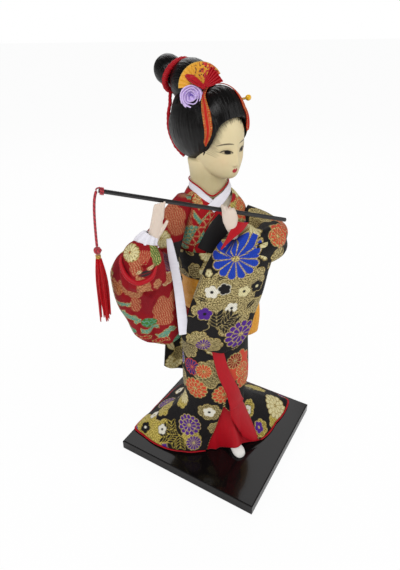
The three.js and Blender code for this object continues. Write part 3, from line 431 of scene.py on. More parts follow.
def thicken(piece, thickness, offset=-1.0):
    """Gives a sheet its thickness, inwards where offset is -1."""
    wall = piece.modifiers.new("Wall", "SOLIDIFY")
    wall.thickness = thickness * MM
    wall.offset = offset
    return piece


def dressed(piece, material, body, slot, *nodes):
    """Gives a piece its material, its body and the nodes that it stands for, which it hides; slot
    is not used.
    """
    piece.data.materials.clear()
    piece.data.materials.append(bpy.data.materials[material])
    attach(piece, body)
    if nodes:
        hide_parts(*nodes)
    return piece


def declare(piece):
    """Returns the piece as it is.
    """
    return piece


def sewn(name, points, wall, material, slot, node, held, rests_on, **more):
    """A sheet of cloth on the stand: its surface, its thickness if it has one, and its finish.
    """
    piece = surface(name, points, **more)
    if wall:
        thicken(piece, wall)
    dressed(piece, material, "stand", slot, node)
    return declare(piece)


def stuffing(name, z, draw, within, tuft, node):
    """Padding: the trunk's ellipse drawn in, with tufting d (1 + sin(n a) sin(z / h)), rounded at
    its ends.
    """
    depth, count, high = tuft
    a, rows = spread(circle(72), z)
    dimple = depth * (1 + np.sin(count * a) * np.sin(rows / high))
    points = out_from(trunk, a, np.clip(rows, *within), draw[:, None] - dimple)
    points[..., 2] = rows
    piece = surface(name, points, wrap=True, caps=True)
    dressed(piece, "Calico_stuffing", "stand", "padding", node)


# Thread colours of the brocades
INKS = {
    "black": linear("#1c1a1b"),
    "night": linear("#2e2c2d"),
    "old_gold": linear("#96824a", 0.8),
    "yellow_gold": linear("#cdb224", 0.7),
    "gold_line": linear("#c0a252", 0.8),
    "red": linear("#a8121c"),
    # Painted shade: the right sleeve's red brocade, drawn darker than the bodice's red of the same
    # cloth
    "dark_red": linear("#8c1320"),
    "red_in_shade": linear("#920f1a"),
    "coral": linear("#cf4a34"),
    "salmon": linear("#c0724c", 0.35),
    "orange": linear("#c4632e", 0.3),
    "rust": linear("#a8502a", 0.4),
    "blue": linear("#1c3fb0"),
    "navy": linear("#232a6e"),
    "purple": linear("#52248a"),
    "cream": linear("#e2d8a4", 0.15),
    "white": linear("#e6e2d2"),
    "teal": linear("#4f9c88", 0.2),
    "green": linear("#2e7a2c", 0.1),
    "orange_gold": linear("#c47f16", 0.5),
    "skin": linear("#dccda4"),
    "hand": linear("#dacabd"),
    # Painted shade, laid round the eyes and under the nose
    "painted_shade": linear("#c4ad7c"),
    # Painted shadow of the chin, laid on the neck
    "painted_chin_shadow": linear("#c4b78e"),
    "blush": linear("#e2b48e"),
    "eye_white": linear("#b9a888"),
    "iris": linear("#1c0e08"),
    "lash": linear("#0c0706"),
    "brow": linear("#30241c"),
    "lips": linear("#b01c28"),
    "ribbon": linear("#c3221a"),
    "fan": linear("#e0a01a", 0.15),
    "brown": linear("#5a2414"),
    "lilac": linear("#d8c2f4"),
    "violet": linear("#6a4ab8"),
}


def lay(ink, mask, colour):
    """Lays a colour over the ink where the mask is 1."""
    ink += mask[..., None] * (INKS[colour] - ink)


def inside(distance, soft=0.3):
    """1 inside an outline and 0 outside, with a soft edge between."""
    return np.clip(0.5 - distance / soft, 0, 1)


def outlined(ink, far, edge, line, body, grow=0):
    """A shape of one colour with an edge of another: far is the distance to its outline."""
    lay(ink, inside(far - edge), line)
    lay(ink, inside(far + grow), body)


def petals(x, y, radius, count, fill=0.88):
    """Distance to a ring of petals: each is a wedge from the middle, closed by a circle that
    touches its sides.
    """
    r, step = np.hypot(x, y), 2 * np.pi / count
    a = (np.arctan2(y, x) + step / 2) % step - step / 2
    half = np.arcsin(np.sin(step / 2) * fill)
    reach = radius / (1 + np.sin(half))
    px, py = r * np.cos(a), r * np.abs(np.sin(a))
    wedge = py * np.cos(half) - px * np.sin(half)
    end = np.hypot(px - reach, py) - reach * np.sin(half)
    return np.where(px * np.cos(half) + py * np.sin(half) < reach * np.cos(half), wedge, end)


def lobes(x, y, radius, count, out=0.56, size=0.46):
    """Distance to a ring of circles round a middle circle, as in a plum flower or a cloud."""
    r, step = np.hypot(x, y), 2 * np.pi / count
    a = (np.arctan2(y, x) + step / 2) % step - step / 2
    ring = np.hypot(r * np.cos(a) - out * radius, r * np.sin(a)) - size * radius
    return np.minimum(ring, r - out * radius)


def chrysanthemum(ink, x, y, radius, colours):
    petal, line, heart = colours
    far = petals(x, y, radius, 13)
    outlined(ink, far, 0.55, line, petal, 0.1)
    lay(ink, inside(np.hypot(x, y) - radius * 0.17), line)
    lay(ink, inside(np.hypot(x, y) - radius * 0.09), heart)


def double_chrysanthemum(ink, x, y, radius, colours):
    chrysanthemum(ink, x, y, radius, colours)
    petal, line, _ = colours
    turn = np.pi / 9
    inner_x, inner_y = x * np.cos(turn) - y * np.sin(turn), x * np.sin(turn) + y * np.cos(turn)
    far = petals(inner_x, inner_y, radius * 0.62, 9)
    outlined(ink, far, 0.5, line, petal, 0.1)
    lay(ink, inside(np.hypot(x, y) - radius * 0.16), line)


def plum(ink, x, y, radius, colours):
    petal, line, heart = colours
    far = lobes(x, y, radius, 5)
    outlined(ink, far, 0.45, line, petal)
    lay(ink, inside(np.hypot(x, y) - radius * 0.24), heart)


def cloud(ink, x, y, radius, colours):
    body, line, hatch = colours
    far = lobes(x, y * 1.15, radius, 7, 0.66, 0.36)
    outlined(ink, far, 0.5, line, body)
    stripes = np.abs((x + 0.4 * y) % 1.7 - 0.85) - 0.3
    lay(ink, inside(far + 0.8) * inside(stripes), hatch)


def spray(ink, x, y, radius, colours):
    """Leaves along three twigs, each a lens with a vein."""
    leaf, line, _ = colours
    for turn in (-0.75, 0.0, 0.75):
        c, s = np.cos(turn), np.sin(turn)
        lx, ly = x * c + y * s, np.abs(-x * s + y * c)
        lay(ink, inside(ly - 0.3) * inside(np.abs(lx - radius / 2) - radius / 2), line)
        for at in (0.3, 0.5, 0.7, 0.9):
            px, py = lx - at * radius, ly - 0.16 * radius
            ax, ay = px * 0.77 + py * 0.64, np.abs(-px * 0.64 + py * 0.77)
            lens = ay - 0.09 * radius * (1 - (ax / (0.26 * radius)) ** 2)
            lens = np.where(np.abs(ax) < 0.26 * radius, lens, 9)
            outlined(ink, lens, 0.3, line, leaf)


def leaf(ink, x, y, radius, colours):
    body, line, _ = colours
    far = np.abs(y) - 0.36 * radius * (1 - (x / radius) ** 2)
    far = np.where(np.abs(x) < radius, far, 9)
    outlined(ink, far, 0.4, line, body)
    lay(ink, inside(np.abs(y) - 0.2) * inside(far), line)


def hatch(ink, x, y, radius, colours):
    """A patch with uneven edges, filled with slanting lines."""
    body, line, _ = colours
    far = np.hypot(x * 1.15,
                   y * 0.72) - radius * (0.8 + 0.4 * noise(np.arctan2(y, x) * 2 + 9, 0 * x, 3))
    lay(ink, inside(far), body)
    stripes = np.abs((x + 0.2 * y + 0.3 * np.sin(y)) % 1.5 - 0.75) - 0.3
    lay(ink, inside(far) * inside(stripes), line)


def wave(ink, x, y, radius, colours):
    """A wavy bar with ragged edges, flecked with its line's colour."""
    body, line, _ = colours
    wide = radius * (0.16 + 0.22 * noise(4 * x / radius + 9, 0 * x, 4))
    far = np.maximum(np.abs(y - 0.24 * radius * np.sin(2.6 * x / radius)) - wide,
                     np.abs(x) - radius)
    outlined(ink, far, 0.35, line, body)
    lay(ink, inside(far) * inside(0.7 - noise(1.4 * x + 5, 2.2 * y, 6), 0.1), line)


def rays(ink, x, y, radius, colours):
    """A fan of fine lines that spread from its foot."""
    body, line, _ = colours
    turn, away = np.arctan2(x, y + radius), np.hypot(x, y + radius)
    far = np.maximum(np.abs(turn) - 0.52, np.abs(away - 1.1 * radius) / radius - 0.75) * radius
    lay(ink, inside(far), body)
    lay(ink, inside(far) * inside(np.abs((turn / 0.13) % 1 - 0.5) - 0.2, 0.2), line)


def scallops(ink, x, y, radius, colours):
    """Rows of overlapping half circles with an edge of another colour."""
    body, line, _ = colours
    far = np.hypot(x * 0.7, y) - radius
    row = np.floor(y / 2.6)
    sx = (x + 1.7 * (row % 2)) % 3.4 - 1.7
    ring = np.abs(np.hypot(sx, y - row * 2.6) - 1.5) - 0.35
    lay(ink, inside(far), body)
    lay(ink, inside(far) * inside(ring), line)


def chevron(ink, x, y, radius, colours):
    """A V of one broad stroke."""
    body, line, _ = colours
    far = np.maximum(np.abs(y - np.abs(x) * 1.15 + radius * 0.5) / 1.5 - radius * 0.18,
                     np.abs(x) - radius * 0.8)
    outlined(ink, far, 0.4, line, body)


MOTIFS = {f.__name__: f for f in (
    chrysanthemum, double_chrysanthemum, plum, cloud, spray, leaf, hatch, wave, rays, scallops,
    chevron)}


def place_motifs(ink, points, normals, motifs):
    """Draws each motif flat on the plane that touches the surface where the motif's middle is."""
    flat, facing, inks = points.reshape(-1, 3), normals.reshape(-1, 3), ink.reshape(-1, 4)
    for kind, middle, radius, turn, colours in motifs:
        middle = np.asarray(middle, float)
        at = np.argmin(np.sum((flat - middle) ** 2, 1))
        middle = flat[at]
        normal = facing[(np.sum((flat - middle) ** 2, 1) < radius**2) & (facing @ facing[at] > 0)]
        normal = unit(normal.mean(0))
        side = unit(np.cross([0, 0, 1.0], normal) + 1e-9)
        up = np.cross(normal, side)
        away = flat - middle
        near = (np.sum(away**2, 1) < (1.9 * radius) ** 2) & (facing @ normal > 0.1)
        x, y = away[near] @ side, away[near] @ up
        c, s = np.cos(np.radians(turn)), np.sin(np.radians(turn))
        some = inks[near]
        MOTIFS[kind](some, x * c + y * s, y * c - x * s, radius, colours.split())
        inks[near] = some
    return inks.reshape(ink.shape)


def scattered(points, kinds, apart, seed, keep=None):
    """Motifs in a repeatable scatter: points are taken in a mixed order where none is nearer than
    apart.
    """
    flat = points.reshape(-1, 3)
    order = np.argsort(lattice(np.arange(len(flat)) % 977, np.arange(len(flat)) // 977,
                               seed))[:3000]
    if keep is not None:
        order = order[keep(flat[order])]
    chosen = []
    for i in order:
        if all(np.sum((flat[i] - flat[j]) ** 2) > apart**2 for j in chosen):
            chosen.append(i)
    motifs = []
    for n, i in enumerate(chosen):
        kind, radius, colours = kinds[n % len(kinds)]
        motifs.append((kind, flat[i], radius, float(lattice(n, seed, 5) * 360), colours))
    return motifs


def clear_of(motifs, apart, share=1):
    """A test for points that lie outside the drawn motifs: beyond a share of each radius and a
    margin.
    """
    taken = np.array([m[1] for m in motifs], float)
    sizes = np.array([m[2] for m in motifs], float)

    def free(p):
        away = np.linalg.norm(p[:, None] - taken[None], axis=-1)
        return np.all(away > share * sizes + apart, axis=1)

    return free


def patterned(points, colour, motifs, side=1, wrap=False):
    """The ink of a brocade: its ground with the motifs on the side that its normals face."""
    return place_motifs(ground(points, colour), points, slopes(points, wrap) * side, motifs)


def ground(points, colour):
    """An even ink for every point."""
    ink = np.empty(points.shape[:-1] + (4,))
    ink[...] = INKS[colour]
    return ink


def add(tree, kind, values=None, **settings):
    """One node with its settings; a value is a number, a colour, or the socket that feeds it."""
    node = tree.nodes.new(kind)
    for name, value in settings.items():
        setattr(node, name, value)
    for key, value in (values or {}).items():
        if isinstance(value, bpy.types.NodeSocket):
            tree.links.new(value, node.inputs[key])
        else:
            node.inputs[key].default_value = value
    return node


def shaded(name, constants, wire):
    """A material with one Principled shader: constants are set on its sockets, and wire links the
    rest.
    """
    made = bpy.data.materials.new(name)
    made.use_nodes = True
    tree = made.node_tree
    tree.nodes.clear()
    shader = add(tree, "ShaderNodeBsdfPrincipled", constants)
    out = add(tree, "ShaderNodeOutputMaterial")
    tree.links.new(shader.outputs["BSDF"], out.inputs["Surface"])
    for key, socket in wire(tree).items():
        tree.links.new(socket, shader.inputs[key])
    return made


def mixed(tree, share, first, second, blend="MIX"):
    """A colour mix, with its own clamp left off."""
    node = add(tree, "ShaderNodeMix", data_type="RGBA", blend_type=blend)
    for at, value in ((0, share), (6, first), (7, second)):
        if isinstance(value, bpy.types.NodeSocket):
            tree.links.new(value, node.inputs[at])
        else:
            node.inputs[at].default_value = value
    return node.outputs[2]


def rgb(code):
    """A hex colour for a node's socket."""
    return (*linear(code)[:3], 1.0)


def reckoned(tree, operation, *values):
    """One Math node on two or three numbers or sockets."""
    return add(tree, "ShaderNodeMath", dict(enumerate(values)), operation=operation).outputs[0]


def thread_map(tree, scale):
    """The thread coordinates, in millimetres, times a scale for each direction."""
    uv = add(tree, "ShaderNodeUVMap", uv_map="threads")
    return add(tree, "ShaderNodeMapping",
               {"Vector": uv.outputs[0], "Scale": (*scale, 1)}).outputs[0]


def grain(tree, vector, size, detail=3.0, rough_share=0.55):
    """Noise whose spots are a size in millimetres, on coordinates in millimetres."""
    return add(tree, "ShaderNodeTexNoise", {"Vector": vector, "Scale": 1 / size, "Detail": detail,
                                            "Roughness": rough_share}).outputs["Fac"]


def place_mm(tree):
    """Object coordinates in millimetres."""
    at = add(tree, "ShaderNodeTexCoord").outputs["Object"]
    return add(tree, "ShaderNodeVectorMath", {0: at, 1: (1000, 1000, 1000)},
               operation="MULTIPLY").outputs[0]


def bumped(tree, height, strength, distance_mm):
    """A normal from a height, whose distance is in millimetres."""
    return add(tree, "ShaderNodeBump", {"Height": height, "Strength": strength,
                                        "Distance": distance_mm * MM}).outputs[0]


def scaled(tree, socket, low, high):
    """A value from 0 to 1 stretched between two others."""
    return add(tree, "ShaderNodeMapRange",
               {"Value": socket, "To Min": low, "To Max": high}).outputs[0]


def brocade(name, lustre):
    """Kinran brocade, woven with flat gold thread on silk: the gold is painted lighter and darker
    in specks, as painted glints and shade, and the silk has a soft sheen.

    Real threads are 0.15 mm apart; the twill is drawn at 0.7 mm so that it shows.
    """

    def wire(tree):
        ink = add(tree, "ShaderNodeAttribute", attribute_name="ink")
        threads = thread_map(tree, (1, 1))
        twill = add(tree, "ShaderNodeTexWave", {"Vector": threads, "Scale": 0.45, "Distortion": 1.2,
                                                "Detail": 2.0, "Detail Scale": 2.0},
                    bands_direction="DIAGONAL").outputs["Fac"]
        fleck = grain(tree, threads, 0.95, 2.0, 0.7)
        sharp = add(tree, "ShaderNodeMapRange",
                    {"Value": fleck, "From Min": 0.42, "From Max": 0.58}).outputs[0]
        gold = ink.outputs["Alpha"]
        # Painted glints and shade: the gold's colour is darkened in some specks and lit in others
        deep = mixed(tree, 1.0, ink.outputs["Color"], rgb("#4a4236"), "MULTIPLY")
        lit = mixed(tree, 0.5, ink.outputs["Color"], rgb("#ffe9a8"), "SCREEN")
        painted_glints = mixed(tree, sharp, deep, lit)
        silk = mixed(tree, scaled(tree, twill, 0.0, 0.22), ink.outputs["Color"], deep)
        colour = mixed(tree, gold, silk, painted_glints)
        metal = reckoned(tree, "MULTIPLY", gold, 0.3)
        rough_at = scaled(tree, gold, 0.62, 0.38)
        height = reckoned(tree, "ADD", twill, sharp)
        raised = reckoned(tree, "MULTIPLY_ADD", gold, 1.2, height)
        return {"Base Color": colour, "Metallic": metal, "Roughness": rough_at,
                "Normal": bumped(tree, raised, 0.5, 0.22)}

    return shaded(name,
                  {"Sheen Weight": lustre, "Sheen Roughness": 0.4, "Specular IOR Level": 0.14},
                  wire)


def satin(name, code, dark, rough_value=0.42, sheen=0.35, line=0.5):
    """Silk satin: long floats of thread run one way, so it is smooth with fine lines and a broad
    gloss.

    The floats are drawn half a millimetre apart, three times the real spacing.
    """

    def wire(tree):
        floats = thread_map(tree, (0.12, 1 / line))
        lines = grain(tree, floats, 1.0, 2.0)
        slub = grain(tree, thread_map(tree, (0.05, 0.4)), 1.0, 2.0)
        colour = mixed(tree, scaled(tree, lines, 0.0, 0.6), rgb(code), rgb(dark))
        colour = mixed(tree, scaled(tree, slub, 0.0, 0.3), colour, rgb(dark))
        return {"Base Color": colour,
                "Roughness": scaled(tree, lines, rough_value - 0.08, rough_value + 0.1),
                "Normal": bumped(tree, lines, 0.35, 0.15)}

    return shaded(name,
                  {"Sheen Weight": sheen, "Sheen Roughness": 0.35, "Specular IOR Level": 0.2}, wire)


def lame(name, code, dark, light):
    """Crinkled metallic lame: thin gilt film in the weave, creased into small facets that catch the
    light. Its colour is darker in fine spots, as painted shade in the creases, and lighter towards
    the edges of the crinkle cells, as a painted highlight.
    """

    def wire(tree):
        at = place_mm(tree)
        cells = add(tree, "ShaderNodeTexVoronoi", {"Vector": at, "Scale": 0.62},
                    feature="SMOOTH_F1")
        crease = cells.outputs["Distance"]
        fine = grain(tree, at, 0.7, 3.0, 0.7)
        # Painted shade and highlight: darker in fine spots, lighter towards the crinkle cells' edges
        colour = mixed(tree, fine, rgb(dark), rgb(code))
        colour = mixed(tree, scaled(tree, crease, 0.0, 0.5), colour, rgb(light))
        height = reckoned(tree, "ADD", fine, crease)
        return {"Base Color": colour, "Roughness": scaled(tree, fine, 0.32, 0.6),
                "Normal": bumped(tree, height, 0.8, 0.5)}

    return shaded(name, {"Metallic": 0.35, "Sheen Weight": 0.2}, wire)


def floss(name, code, light, fill=0.3, rough_value=0.4, gloss=0.22):
    """Combed silk floss: parallel fibres along the second thread direction, glossy in streaks, with
    lighter streaks painted into the colour as painted highlights.
    """

    def wire(tree):
        fibre = grain(tree, thread_map(tree, (1 / 0.35, 0.025)), 1.0, 3.0, 0.6)
        lock = grain(tree, thread_map(tree, (0.6, 0.03)), 1.0, 2.0)
        painted_highlight_streak = add(tree, "ShaderNodeMapRange",
                     {"Value": fibre, "From Min": 0.42, "From Max": 0.7}).outputs[0]
        # Painted highlight: streaks of the lighter colour along the fibres
        colour = mixed(tree, painted_highlight_streak, rgb(code), rgb(light))
        height = reckoned(tree, "ADD", lock, fibre)
        return {"Base Color": colour,
                "Roughness": scaled(tree, lock, rough_value - 0.08, rough_value + 0.12),
                "Normal": bumped(tree, height, 0.65, 0.3)}

    return shaded(name,
                  {"Sheen Weight": fill, "Sheen Roughness": 0.3, "Specular IOR Level": gloss}, wire)


def cord_silk(name, code, dark):
    """Twisted silk cord: two plies wind round each other once in 2 mm, with gloss on each ply's
    crown; the colour is painted darker in the grooves between the plies, as painted shade.
    """

    def wire(tree):
        twist = add(tree, "ShaderNodeTexWave",
                    {"Vector": thread_map(tree, (0.55, 0.5)), "Scale": 0.5,
                     "Distortion": 0.3},
                    bands_direction="DIAGONAL").outputs["Fac"]
        fine = grain(tree, thread_map(tree, (4, 0.6)), 1.0, 2.0)
        # Painted shade: the cord's colour darkens in the grooves between the plies
        colour = mixed(tree, twist, rgb(dark), rgb(code))
        height = reckoned(tree, "MULTIPLY_ADD", twist, 0.8, fine)
        return {"Base Color": colour, "Roughness": scaled(tree, fine, 0.4, 0.62),
                "Normal": bumped(tree, height, 0.7, 0.3)}

    return shaded(name, {"Sheen Weight": 0.3}, wire)


def inked(name, gloss, depth, **constants):
    """A painted surface: its colour comes from the ink, with a faint mottle and brush texture under
    the glaze.
    """

    def wire(tree):
        ink = add(tree, "ShaderNodeAttribute", attribute_name="ink")
        at = place_mm(tree)
        mottle = grain(tree, at, 2.2)
        colour = mixed(tree, scaled(tree, mottle, 0.0, 0.16), ink.outputs["Color"], rgb("#d8c69a"),
                       "MULTIPLY")
        return {"Base Color": colour, "Roughness": scaled(tree, mottle, gloss - 0.06, gloss + 0.08),
                "Normal": bumped(tree, grain(tree, at, 0.6), 0.12, depth)}

    return shaded(name, constants, wire)


def glossy(name, code, second, size, low, high, depth, **constants):
    """A plain finish in two tones: spots of a size in millimetres shift its colour, gloss and
    level.
    """

    def wire(tree):
        at = place_mm(tree)
        spot = grain(tree, at, size)
        colour = mixed(tree, spot, rgb(code), rgb(second))
        return {"Base Color": colour, "Roughness": scaled(tree, spot, low, high),
                "Normal": bumped(tree, spot, 0.3, depth)}

    return shaded(name, constants, wire)


def timber(name):
    """Turned birch dowel: pale, with long grain."""

    def wire(tree):
        at = add(tree, "ShaderNodeMapping",
                 {"Vector": place_mm(tree), "Scale": (1, 1, 0.08)}).outputs[0]
        lines = grain(tree, at, 0.8)
        return {"Base Color": mixed(tree, lines, rgb("#c9a86b"), rgb("#9d7a45")),
                "Roughness": scaled(tree, lines, 0.55, 0.75),
                "Normal": bumped(tree, lines, 0.3, 0.1)}

    return shaded(name, {}, wire)


def make_materials():
    """Every finish of the doll, named for what the real one is."""
    brocade("Brocade_kinran", 0.0)
    satin("Satin_red", "#bc0e1e", "#800814", 0.42, 0.06)
    satin("Satin_black", "#201e1f", "#0d0c0d", 0.5, 0.0)
    satin("Tape_white", "#edebf1", "#c9c6d2", 0.62, 0.25)
    lame("Lame_orange", "#ffa90e", "#c87c08", "#ffd458")
    # Each floss's second colour is its painted highlight streaks
    floss("Hair_silk", "#060505", "#161413", 0.0, 0.2, 0.24)
    floss("Floss_red", "#bc0614", "#dc1020", 0.15, 0.4, 0.1)
    # Satin ribbon in lilac, matt on its folded edge
    inked("Ribbon_lilac", 0.55, 0.1, **{"Sheen Weight": 0.25})
    cord_silk("Cord_red", "#c21a30", "#7c0c1c")
    cord_silk("Thread_gold", "#e0b040", "#8a6414")
    inked("Gofun_shell_lacquer", 0.42, 0.05,
          **{"Specular IOR Level": 0.3, "Coat Weight": 0.06, "Coat Roughness": 0.3,
             "Subsurface Weight": 0.03,
             "Subsurface Scale": 0.001})
    inked("Gilt_paper", 0.5, 0.15, **{"Metallic": 0.15})
    # Urushi-style lacquer, sprayed and buffed: near black, a hard clear coat, only a trace of
    # ripple
    glossy("Lacquer_black", "#0a0a0b", "#120d0d", 9.0, 0.1, 0.16, 0.02,
           **{"Coat Weight": 0.18, "Coat Roughness": 0.05, "Specular IOR Level": 0.18})
    glossy("Lacquer_rod", "#161617", "#242325", 3.0, 0.28, 0.42, 0.05,
           **{"Coat Weight": 0.25, "Coat Roughness": 0.2})
    # Brushed cotton: matt, with a fine nap
    glossy("Cotton_white", "#efeeea", "#d8d6d0", 0.9, 0.85, 0.95, 0.2, **{"Sheen Weight": 0.3})
    # Carded cotton stuffing under thin calico
    glossy("Calico_stuffing", "#e6dfcd", "#cfc5ac", 1.6, 0.9, 0.98, 0.4, **{"Sheen Weight": 0.2})
    # Drawn steel wire: bright, with faint draw marks
    glossy("Steel_wire", "#9a9da0", "#6e7174", 0.5, 0.3, 0.45, 0.03, **{"Metallic": 1.0})
    # Cast acrylic bead: clear yellow colour, very smooth
    glossy("Acrylic_yellow", "#f2c21c", "#e0a010", 1.2, 0.1, 0.2, 0.03, **{"Coat Weight": 0.5})
    timber("Birch_dowel")


class DollSizes(bpy.types.PropertyGroup):
    fold_depth: bpy.props.FloatProperty(
        name="Fold depth", description="Depth of the folds in the hanging sleeves", default=0.0016,
        unit="LENGTH")
    cord_diameter: bpy.props.FloatProperty(
        name="Cord", description="Diameter of the tassel's cord", default=0.0016, unit="LENGTH")
    strand_count: bpy.props.IntProperty(
        name="Strands", description="Threads in the tassel's skirt", default=150)
    hairline_count: bpy.props.IntProperty(
        name="Hairline", description="Fine strokes round the face", default=110)


class DollStage(bpy.types.PropertyGroup):
    floor_colour: bpy.props.FloatVectorProperty(
        name="Floor", description="Colour of the floor and the backdrop", subtype="COLOR",
        default=tuple(linear("#f4f4f4")[:3]))
    lens: bpy.props.FloatProperty(name="Lens", description="Focal length of the camera",
                                  default=28.86)
    lamp_power: bpy.props.FloatProperty(
        name="Lamps", description="Power of the main lamp", default=9.0, unit="POWER")


class DOLL_OT_materials(bpy.types.Operator):
    """Makes the finishes: brocade, satin, tape, lame, floss, cord, lacquer and the rest"""

    bl_idname = "doll.materials"
    bl_label = "Finishes"

    def execute(self, context):
        make_materials()
        return {"FINISHED"}


class DOLL_OT_stage(bpy.types.Operator):
    """Makes the floor, the lamps, the world and the camera at the photograph's angle"""

    bl_idname = "doll.stage"
    bl_label = "Stage"

    def execute(self, context):
        stage = context.scene.doll_stage
        tone = (*stage.floor_colour, 1.0)
        line = np.linspace(-FLOOR_REACH, FLOOR_REACH, 25)
        floor = surface("stage_floor",
                        np.stack([*spread(line, line), np.full((25, 25), -FLOOR_DROP)], -1))
        made = bpy.data.materials.new("Paper_white")
        made.use_nodes = True
        tree = made.node_tree
        tree.nodes.clear()
        matt = add(tree, "ShaderNodeBsdfDiffuse", {"Color": tone})
        bright = add(tree, "ShaderNodeEmission", {"Color": (1, 1, 1, 1), "Strength": 1.0})
        ray = add(tree, "ShaderNodeLightPath")
        seen = add(tree, "ShaderNodeMath", {0: ray.outputs["Is Camera Ray"], 1: PAPER_GLOW},
                   operation="MULTIPLY")
        both = add(tree, "ShaderNodeMixShader",
                   {0: seen.outputs[0], 1: matt.outputs[0], 2: bright.outputs[0]})
        add(tree, "ShaderNodeOutputMaterial", {"Surface": both.outputs[0]})
        floor.data.materials.append(made)
        world = bpy.data.worlds.new("Soft_white")
        world.use_nodes = True
        tree = world.node_tree
        tree.nodes.clear()
        ray = add(tree, "ShaderNodeLightPath")
        lit = add(tree, "ShaderNodeMapRange",
                  {"Value": ray.outputs["Is Camera Ray"], "To Min": 0.56, "To Max": 1.0})
        dimmed = add(tree, "ShaderNodeMath",
                     {0: ray.outputs["Is Glossy Ray"], 1: -0.42, 2: lit.outputs[0]},
                     operation="MULTIPLY_ADD")
        back = add(tree, "ShaderNodeBackground",
                   {"Color": (1, 1, 1, 1), "Strength": dimmed.outputs[0]})
        add(tree, "ShaderNodeOutputWorld", {"Surface": back.outputs[0]})
        context.scene.world = world
        for name, place, aim, size, power in (
            ("lamp_main", (-0.75, -0.9, 1.05), (0, 0, 0.15), 0.7, stage.lamp_power),
            ("lamp_fill", (0.95, -0.6, 0.6), (0, 0, 0.15), 0.9, stage.lamp_power * 0.45),
            ("lamp_back", (0.2, 0.9, 0.9), (0, 0, 0.2), 0.8, stage.lamp_power * 0.4),
        ):
            light = bpy.data.lights.new(name, "AREA")
            light.size, light.energy = size, power
            lamp = bpy.data.objects.new(name, light)
            lamp.location = place
            away = Vector(aim) - Vector(place)
            lamp.rotation_euler = away.to_track_quat("-Z", "Y").to_euler()
            context.scene.collection.objects.link(lamp)
        lens = bpy.data.cameras.new("camera")
        lens.lens, lens.sensor_width = stage.lens, SENSOR_WIDTH
        lens.clip_start, lens.clip_end = 0.01, 20
        camera = bpy.data.objects.new("camera", lens)
        camera.location = CAMERA_AT
        camera.rotation_mode = "XYZ"
        camera.rotation_euler = CAMERA_TURN
        context.scene.collection.objects.link(camera)
        context.scene.camera = camera
        context.scene.view_settings.view_transform = "Standard"
        return {"FINISHED"}


def many_tubes(name, lines, radii, sides=3):
    """Many thin tubes in one mesh: lines are (tubes, points, 3), each with rings of a few sides."""
    count, length = lines.shape[:2]
    run = unit(np.gradient(lines, axis=1))
    side = unit(np.cross(run, [0.31, 0.17, 0.93]))
    rise = np.cross(run, side)
    a = circle(sides)
    radii = np.broadcast_to(np.asarray(radii, float), (count, length))[..., None, None]
    rows = lines[:, :, None] + (side[:, :, None] * np.cos(a)[:, None]
                                + rise[:, :, None] * np.sin(a)[:, None]) * radii
    t, r, c = np.ix_(np.arange(count), np.arange(length - 1), np.arange(sides))
    n = (c + 1) % sides
    base = t * length * sides
    quads = np.stack([base + r * sides + c, base + r * sides + n,
                      base + (r + 1) * sides + n, base + (r + 1) * sides + c], -1).reshape(-1, 4)
    wide = np.stack([c, c + 1, c + 1, c], -1) + 0 * quads.reshape(count, length - 1, sides, 4)
    far = np.stack([r, r, r + 1, r + 1], -1) + 0 * wide
    threads = np.stack([wide * 0.7 + 3.0 * t[..., None], far * 1.0], -1).reshape(-1, 2)
    ends = np.arange(count)[:, None] * length * sides + np.arange(sides)[None]
    if sides == 3:
        fans = np.concatenate([ends[:, ::-1], ends + (length - 1) * sides])
    else:
        fans = np.zeros((0, 3), int)
    threads = np.concatenate([threads, np.zeros((fans.size, 2))])
    return mesh_of(name, rows.reshape(-1, 3), quads, fans, threads)


# Tassel: the route of its cord, the same as in the part
CORD = np.array([
    [-86.4, -40, 248], [-86.6, -40, 247.6], [-87.6, -40, 244.4], [-88.5, -40, 238],
    [-89.1, -40, 229],
    [-89.4, -40, 221], [-89.5, -40, 216],
])
FLUTE_START = np.array([-85, -40, 248.7])
FLUTE_END = np.array([27.4, -40, 220.3])
FLUTE_RADIUS = 1.27
LOOP_TURNS = 2.5
KNOT_HIGH = 5
BINDING_HIGH = 2.2
LOCKS = 15
# The turn in radians that spreads points evenly over a disc
GOLDEN_ANGLE = 2.39996


